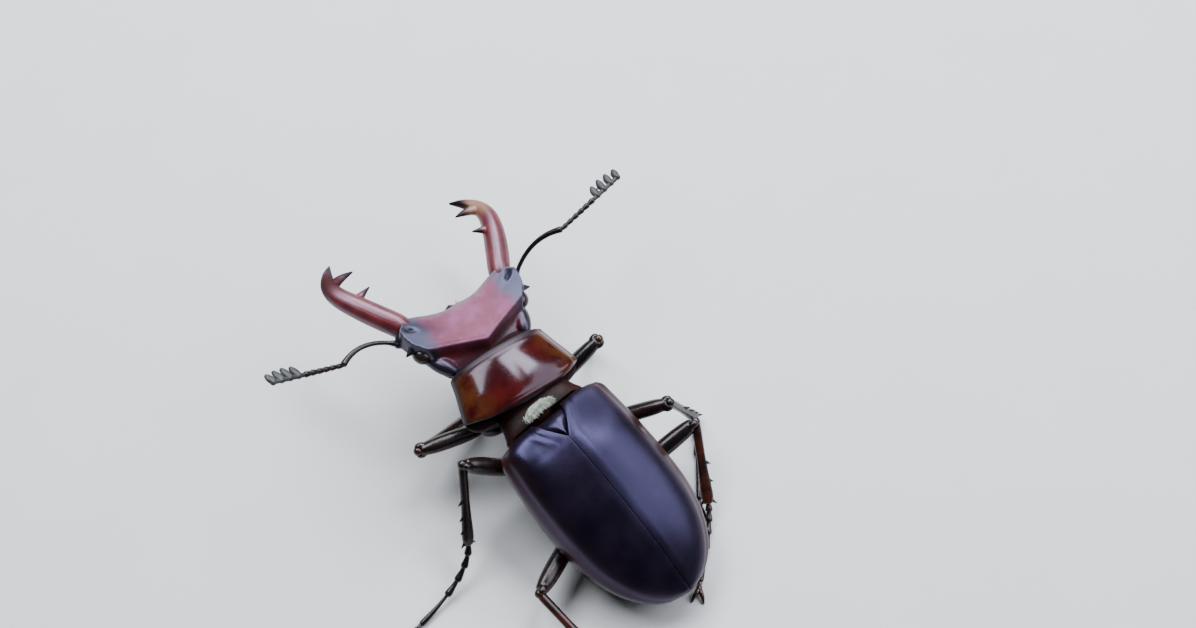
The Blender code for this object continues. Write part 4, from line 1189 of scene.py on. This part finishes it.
def head_tones(left, ahead, up):
    """Where a point of the head is plateau with its painted sky reflection, front corner with its painted
    sheen, front edge with its painted highlight, and painted shade.
    """
    top = head_top(left, ahead)
    before = ahead - crest_line(left)
    pit = pit_distance(left, ahead)
    # plateau: where the painted sky reflection lies, on the top ahead of the crest.
    plateau = ramp(up - top, TOP_FADE) * ramp(before, PLATEAU_REFLECTION_FADE)
    # corner: where the painted blue sheen lies, at the front corners and round the pits.
    corner = plateau * min(1.0, ramp(left, CORNER_SHEEN_FADE) + bell(pit, CORNER_PIT_SHEEN_REACH))
    # edge: where the painted highlight runs along the front margin of the plateau.
    edge = plateau * bell(ahead - head_front(left), FRONT_HIGHLIGHT_REACH)
    # flank and nape mark painted shade on the sides and at the nape; below the top and in the pits is painted
    # shade too.
    flank_shade = ramp(left - FLANK_SHADE_SLANT * ahead, FLANK_SHADE_FADE) * (1 - plateau)
    nape_shade = ramp(-before, NAPE_SHADE_FADE) * ramp(left, NAPE_SHADE_SIDE_FADE)
    shade = max(PIT_SHADE * bell(pit, PIT_SHADE_REACH), flank_shade, nape_shade, ramp(top - up, BELOW_SHADE_FADE))
    return plateau, corner, edge, shade


def head():
    """The head capsule, fused with its cheek spikes, lumps and chin."""
    bm = head_box()
    for side, sign in SIDES.items():
        root, tip = (beside(side, place) for place in CHEEK_SPIKE)
        cone(bm, root, tip, CHEEK_SPIKE_RADII, 16)
        for place, radii, angle in HEAD_LUMPS:
            ball(bm, beside(side, place), radii, Matrix.Rotation(radians(angle * sign), 4, "Z"))
    place, radii = CHIN
    ball(bm, at(*place), radii)
    mesh = grown_together(bm, 0.085, 5)
    tones = [head_tones(abs(vert.co.x), -vert.co.y, vert.co.z) for vert in mesh.vertices]
    for name, values in zip(("plateau", "corner", "edge", "shade"), zip(*tones)):
        store(mesh, name, values)
    put(mesh, "head", "head", HEAD)


def eyes():
    """Domed eyes in the cheeks."""
    for side in SIDES:
        bm = bmesh.new()
        ball(bm, beside(side, EYE_PLACE), EYE_RADII, segments=48)
        shaped(bm, "eye_" + side, "head", EYE)


def prong(bm, rows, side, count, sides=22):
    """A curved, tapering length given as (outward, ahead, up, half width, half depth) rows."""
    stations = [(beside(side, place), width, depth) for *place, width, depth in finer(rows, count)]
    tube(bm, stations, sides)


def mandible(side):
    """A forked jaw with one inner tooth."""
    bm = bmesh.new()
    prong(bm, MANDIBLE_BAR, side, 44)
    prong(bm, MANDIBLE_TINE, side, 18)
    prong(bm, MANDIBLE_TOOTH, side, 18)
    put(grown_together(bm, 0.06, 5), "mandible_" + side, "head", mandible_finish(side))


def labrum():
    """The pointed lip under the front of the head."""
    foot = head_front(0.0) + GAP * 0.3
    turns = [2 * pi * n / LABRUM_STEPS for n in range(LABRUM_STEPS)]
    sections = []
    for k in range(LABRUM_ROWS + 1):
        share = k / LABRUM_ROWS
        half_width = LABRUM_HALF_WIDTH * sqrt(1.001 - share ** 2) * (1 - LABRUM_NARROWING * share)
        thick = LABRUM_HALF_DEPTH[0] - LABRUM_HALF_DEPTH[1] * share
        middle = PLATEAU_MIDDLE - LABRUM_DROP[0] - LABRUM_DROP[1] * share - thick
        ahead = foot + share * LABRUM_LENGTH
        sections.append([at(half_width * cos(turn), ahead, middle + thick * sin(turn)) for turn in turns])
    shaped(lofted(sections), "labrum", "head", LIMB)


def palp(side):
    """A jointed feeler of the mouth."""
    bm = bmesh.new()
    prong(bm, PALP, side, 24, 14)
    shaped(bm, "palp_" + side, "head", LIMB)


# ---- antennae

def scape(side):
    """The long first length of an antenna, swelling towards its elbow."""
    foot = beside(side, SCAPE_FOOT)
    elbow = beside(side, ELBOW[side])
    middle = (foot + elbow) / 2 + at(*SCAPE_BOW)
    end = elbow - (elbow - middle).normalized() * ELBOW_GAP
    rows = []
    for k in range(SCAPE_ROWS + 1):
        t = k / SCAPE_ROWS
        swelling = 0.65 + 0.2 * t + 0.2 * t ** 4 + 0.35 * bell(t, 0.06)
        rows.append((bend(foot, middle, end, t), SCAPE_RADIUS * swelling))
    bm = bmesh.new()
    tube(bm, rounded(rows), 18)
    shaped(bm, "scape_" + side, "head", LIMB)


def antenna_line(side):
    """Elbow, heading and length of the outer part of an antenna."""
    elbow = beside(side, ELBOW[side])
    line = beside(side, CLUB_TIP[side]) - elbow
    return elbow, line.normalized(), line.length


def funicle(side):
    """The beaded middle length of an antenna: little cups, each in the mouth of the one before."""
    elbow, heading, length = antenna_line(side)
    pitch = length * FUNICLE_SHARE / FUNICLE_BEADS
    rows = [
        (elbow + heading * pitch * (k + share), radius * (0.92 + 0.03 * k))
        for k in range(FUNICLE_BEADS) for share, radius in FUNICLE_PROFILE
    ]
    bm = bmesh.new()
    tube(bm, rounded(rows), 16)
    shaped(bm, "funicle_" + side, "head", LIMB, sharp=70)


def club(side):
    """The comb-like end of an antenna: flat leaves on a short stalk."""
    elbow, heading, length = antenna_line(side)
    foot = elbow + heading * (length * FUNICLE_SHARE + CLUB_FOOT)
    step = heading * (length * (1 - FUNICLE_SHARE) - CLUB_END) / CLUB_PLATES
    ahead = at(0, 1, 0)
    reach_way = (ahead - heading * ahead.dot(heading)).normalized()
    lift = heading.cross(reach_way)
    bm = bmesh.new()
    stalk = [(foot - heading * CLUB_STALK_BACK, CLUB_STALK_RADII[0])]
    stalk += [(foot + step * k * 0.5, CLUB_STALK_RADII[1]) for k in range(2 * CLUB_PLATES)]
    tube(bm, rounded(stalk), 14, lift)
    for k in range(CLUB_PLATES):
        reach = CLUB_REACH * (0.75 + 0.25 * sin(pi * (k + 1) / CLUB_PLATES)) * 2
        root = foot + step * (k + LEAF_START)
        leaf = []
        for n in range(LEAF_ROWS + 1):
            t = n / LEAF_ROWS
            width = LEAF_HALF_WIDTH[0] + LEAF_HALF_WIDTH[1] * sin(pi * min(1.0, t * 1.05)) ** 0.6
            depth = LEAF_HALF_DEPTH[0] - LEAF_HALF_DEPTH[1] * t
            leaf.append((root + reach_way * reach * t + step * LEAF_LEAN * t ** 1.5, width, depth))
        tube(bm, leaf, 16, lift)
        ball(bm, root + heading * CLUB_ROOT_SHIFT, CLUB_ROOT_RADII, segments=16)
    put(grown_together(bm, 0.055, 3), "club_" + side, "head", CLUB)


# ---- legs

def way(side, heading, rise):
    """The direction of a leg's length, in the floor frame."""
    turn, lift = radians(heading), radians(rise)
    return Vector((SIDES[side] * sin(turn) * cos(lift), -cos(turn) * cos(lift), sin(lift)))


def leg_frame(pair):
    """The frame that carries the hip of a leg."""
    return "chest" if pair == "fore" else "trunk"


def leg_points(side, pair):
    """Hip, knee, ankle and toe of a leg, in the floor frame before the stance shift."""
    thigh, shin, foot = LEG_LENGTHS[pair]
    thigh_turn, shin_turn, foot_heading = LEG_TURNS[f"{side}_{pair}"]
    hip = FRAMES["stance"].inverted() @ FRAMES[leg_frame(pair)] @ beside(side, HIP_PLACE[pair])
    knee = hip + way(side, *thigh_turn) * thigh
    ankle = knee + way(side, *shin_turn) * shin
    drop = degrees(asin((TOE_HEIGHT - ankle.z) / foot))
    toe = ankle + way(side, foot_heading, drop) * foot
    return hip, knee, ankle, toe


def sized(start, end, sizes):
    """Fine tube stations between two points from rows of (share, half width, half depth)."""
    first, last = sizes[0][0], sizes[-1][0]
    widths = [(share, width) for share, width, depth in sizes]
    depths = [(share, depth) for share, width, depth in sizes]
    shares = [first + (last - first) * k / (LIMB_ROWS - 1) for k in range(LIMB_ROWS)]
    return [(start.lerp(end, share), along(widths, share), along(depths, share)) for share in shares]


def coxa(side, pair):
    """The hip, a smooth roller set across the body."""
    place = [hip + shift for hip, shift in zip(HIP_PLACE[pair], COXA_SHIFT[pair])]
    bm = bmesh.new()
    ball(bm, beside(side, place), COXA_RADII[pair], segments=40)
    shaped(bm, f"coxa_{side}_{pair}", leg_frame(pair), LIMB)


def femur(label, hip, knee, hinge):
    """The thigh, with the cheeks that hold the shin."""
    bm = bmesh.new()
    tube(bm, sized(hip, knee, FEMUR_SIZE), 24, hinge)
    turn = (knee - hip).to_track_quat("X", "Z").to_matrix().to_4x4()
    for hand in (1, -1):
        ball(bm, hip.lerp(knee, KNEE_CHEEK_SHARE) + hinge * KNEE_CHEEK_SHIFT * hand, KNEE_CHEEK_RADII, turn)
    ball(bm, hip.lerp(knee, FEMUR_FOOT_SHARE), FEMUR_FOOT_RADII)
    put(grown_together(bm, 0.075, 4), "femur_" + label, "stance", LIMB)


def tibia(label, pair, knee, ankle, hinge):
    """The shin, with thorns along its outer edge and spurs at its end."""
    line = (ankle - knee).normalized()
    outer = line.cross(hinge).normalized()
    length = (ankle - knee).length
    bm = bmesh.new()
    tube(bm, sized(knee, ankle, TIBIA_SIZE), 20, hinge)
    ball(bm, knee, TIBIA_HEAD_RADII)
    thorns = [(share, 1, SPINE_LENGTH, SPINE_SLANT) for share in TIBIA_SPINES[pair]]
    thorns += [(SPUR_SHARE, hand, SPUR_LENGTH, SPUR_SLANT) for hand in (1, -1)]
    deep, clear = SPINE_ROOT
    for share, hand, long, slant in thorns:
        foot = knee + line * share * length
        side_way = outer * hand
        heading = (side_way + line * slant).normalized()
        cone(bm, foot + side_way * deep, foot + side_way * clear + heading * long, SPINE_RADII, 12)
    put(grown_together(bm, 0.055, 3), "tibia_" + label, "stance", LIMB if pair == "mid" else SHIN)


def tarsus_line(knee, ankle, toe):
    """The bent centre line of a foot as a function of the share along it."""
    shin_line = (ankle - knee).normalized()
    reach = min((toe - ankle).length * TARSUS_BEND, (ankle.z - toe.z) / -shin_line.z)
    middle = ankle + shin_line * reach
    return lambda share: bend(ankle, middle, toe, share)


def joint_shares():
    """Where each joint of a foot begins and ends; the last is the longest."""
    marks = [*range(TARSUS_JOINTS), TARSUS_JOINTS - 1 + TARSUS_LAST_LENGTH]
    return [mark / marks[-1] for mark in marks]


def tarsus(label, spot):
    """Four flaring joints and a long last one."""
    marks = joint_shares()
    bm = bmesh.new()
    for k in range(TARSUS_JOINTS):
        first, last = marks[k], marks[k + 1]
        wide = TARSUS_HALF_WIDTH if k < TARSUS_JOINTS - 1 else TARSUS_LAST_HALF_WIDTH
        stations = []
        for part, scale in TARSUS_PROFILE:
            share = max(first + (last - first) * part, 0.0)
            stations.append((spot(share), wide * scale, wide * scale * TARSUS_FLATNESS))
        tube(bm, stations, 16)
    mesh = grown_together(bm, 0.05, 2)
    flatten(mesh)
    put(mesh, "tarsus_" + label, "stance", LIMB)


def claws(label, ankle, toe):
    """Two hooked claws that spread from the toe down to the floor."""
    heading = (toe - ankle).normalized()
    flat = Vector((heading.x, heading.y, 0)).normalized()
    foot = toe + flat * (CLAW_KNOB_AHEAD + GAP)
    foot.z = TOE_HEIGHT + CLAW_KNOB_LIFT
    bm = bmesh.new()
    ball(bm, foot - flat * CLAW_KNOB_BACK, CLAW_KNOB_RADII)
    tube(bm, rounded([(toe - flat * CLAW_NECK_BACK, CLAW_NECK_RADIUS), (foot, CLAW_NECK_RADIUS)]), 12)
    thick, fine = CLAW_RADII
    for hand in (1, -1):
        out = Matrix.Rotation(radians(CLAW_SPREAD * hand), 4, "Z") @ flat
        curl = Matrix.Rotation(radians(-CLAW_SPREAD * CLAW_CURL * hand), 4, "Z") @ out
        middle = foot + out * CLAW_LENGTH * CLAW_MIDDLE_REACH + UP * CLAW_MIDDLE_RISE
        tip = foot + (out * CLAW_TIP_REACH[0] + curl * CLAW_TIP_REACH[1]) * CLAW_LENGTH
        tip.z = CLAW_TIP_HEIGHT
        rows = []
        for k in range(CLAW_STEPS + 1):
            t = k / CLAW_STEPS
            rows.append((bend(foot, middle, tip, t), thick * (1 - t) ** 0.6 + fine))
        tube(bm, rounded(rows), 14)
    mesh = grown_together(bm, 0.045, 2)
    flatten(mesh)
    put(mesh, "claws_" + label, "stance", HORN)


def leg(side, pair):
    """All lengths of one leg. Returns its label and the centre line of its foot."""
    hip, knee, ankle, toe = leg_points(side, pair)
    label = f"{side}_{pair}"
    hinge = (knee - hip).cross(ankle - knee).normalized()
    spot = tarsus_line(knee, ankle, toe)
    coxa(side, pair)
    femur(label, hip, knee, hinge)
    tibia(label, pair, knee, ankle, hinge)
    tarsus(label, spot)
    claws(label, ankle, toe)
    return label, spot


# ---- bristles

def bristles(name, place, finish, rows):
    """A patch of fine bristles from rows of (root, heading, length, half width, (u, v))."""
    bm = bmesh.new()
    patch = bm.loops.layers.uv.new("OFBake")
    for root, heading, long, wide, (u, v) in rows:
        made = cone(bm, root, root + heading * long, (wide, wide * 0.15), 4)
        for face in {face for vert in made for face in vert.link_faces}:
            for corner, loop in enumerate(face.loops):
                loop[patch].uv = (u + PATCH_SIZE * (corner % 2), v + PATCH_SIZE * (corner // 2 % 2))
    shaped(bm, name, place, finish, [], 80)


def collar_fringe():
    """Straw-coloured bristles on the collar, lying back from under the chest shield."""
    draw = random.Random(HAIR_SEED)
    left, ahead, up = FRINGE_MIDDLE
    wide, deep = FRINGE_REACH
    bow, sag = FRINGE_BOW
    out, back, rise = FRINGE_HEADING
    rows = []
    for _ in range(FRINGE_COUNT):
        x = draw.uniform(-1, 1)
        depth = draw.random()
        root = at(left + wide * x, ahead + deep * depth * (1 - bow * x * x), up - sag * x * x)
        sideways = out * x + draw.uniform(-0.25, 0.25)
        backward = back + draw.uniform(-0.2, 0.2)
        heading = at(sideways, backward, rise + draw.uniform(-0.15, 0.2)).normalized()
        patch = (0.5 + 0.49 * x, 0.02 + 0.95 * depth)
        rows.append((root, heading, draw.uniform(*FRINGE_LENGTH), FRINGE_RADIUS, patch))
    bristles("collar_fringe", "trunk", STRAW, rows)


def foot_bristles(label, spot, draw):
    """Amber pads of bristles under the joints of a foot."""
    marks = joint_shares()
    out, down = PAD_ROOT
    forward, slope, splay = PAD_HEADING
    rows = []
    for k in range(TARSUS_JOINTS - 1):
        for n in range(PAD_ROWS):
            share = marks[k] + (marks[k + 1] - marks[k]) * draw.uniform(*PAD_SPAN)
            line = (spot(min(share + 0.02, 1.0)) - spot(share)).normalized()
            sideways = line.cross(UP).normalized() * draw.uniform(-1, 1)
            heading = (line * forward - UP * slope + sideways * splay).normalized()
            root = spot(share) + sideways * out - UP * down
            long = min(draw.uniform(*PAD_LENGTH), max(root.z - 0.03, 0.05) / max(-heading.z, 0.05))
            patch = (0.05 + 0.9 * share, 0.05 + 0.9 * n / PAD_ROWS)
            rows.append((root, heading, long, PAD_RADIUS, patch))
    bristles("foot_bristles_" + label, "stance", AMBER, rows)


def mouth_brush():
    """The two amber brushes that lap sap, under the lip."""
    draw = random.Random(HAIR_SEED + 2)
    out, ahead, up = BRUSH_MIDDLE
    wide, high = BRUSH_REACH
    rows = []
    for sign in SIDES.values():
        for _ in range(BRUSH_COUNT):
            spread = draw.uniform(-1, 1)
            lift = draw.uniform(-1, 1)
            root = at(sign * (out + wide * spread), ahead, up + high * lift)
            heading = at(sign * 0.12 + 0.18 * spread, 1.0, 0.2 * lift).normalized()
            patch = (0.3 + 0.2 * sign + 0.15 * spread, 0.5 + 0.4 * lift)
            rows.append((root, heading, draw.uniform(*BRUSH_LENGTH), BRUSH_RADIUS, patch))
    bristles("mouth_brush", "head", AMBER, rows)


# ---- surroundings

def floor():
    """The pale floor."""
    bm = bmesh.new()
    bmesh.ops.create_grid(bm, x_segments=1, y_segments=1, size=FLOOR_HALF_WIDTH)
    mesh = bpy.data.meshes.new("floor")
    bm.to_mesh(mesh)
    bm.free()
    mesh.materials.append(floor_finish().material)
    thing = linked("floor", mesh)


def softbox(name, heading, rise, size, power, colour):
    """A rectangular lamp aimed at the beetle."""
    lamp = bpy.data.lights.new(name, "AREA")
    lamp.shape = "RECTANGLE"
    lamp.size, lamp.size_y = size
    lamp.energy = power
    lamp.color = colour
    spot = way("left", heading, rise) * LAMP_DISTANCE
    thing = linked(name, lamp)
    thing.location = spot
    thing.rotation_euler = (-spot).to_track_quat("-Z", "Y").to_euler()


def lights():
    """The four lamps and a dim room."""
    for name, row in LAMPS.items():
        softbox(name, *row)
    world = bpy.data.worlds.new("room")
    world.use_nodes = True
    background = world.node_tree.nodes["Background"]
    background.inputs["Color"].default_value = ROOM_COLOUR
    background.inputs["Strength"].default_value = ROOM_STRENGTH
    bpy.context.scene.world = world


def camera():
    """The eye of the picture, behind, above and to the left."""
    lens = bpy.data.cameras.new("camera")
    lens.lens = LENS
    lens.clip_start = CLIP_START
    back = -Vector(CAMERA_HEADING).normalized()
    right = Vector(CAMERA_UP).cross(back).normalized()
    turn = Matrix((right, back.cross(right), back)).transposed().to_4x4()
    thing = linked("camera", lens)
    thing.matrix_world = Matrix.Translation(FRAMES["stance"] @ Vector(CAMERA_PLACE) * MM) @ turn
    bpy.context.scene.camera = thing


def main():
    """Make every piece, then the surroundings."""
    for side in SIDES:
        wing_case(side)
    for make in (scutellum, thorax, abdomen, pronotum, breast_plate, neck, head, eyes, labrum):
        make()
    for side in SIDES:
        palp(side)
    for side in SIDES:
        for make in (mandible, scape, funicle, club):
            make(side)
    legs = [leg(side, pair) for side in SIDES for pair in PAIRS]
    collar_fringe()
    draw = random.Random(HAIR_SEED + 1)
    for label, spot in legs:
        foot_bristles(label, spot, draw)
    mouth_brush()
    floor()
    lights()
    camera()


main()
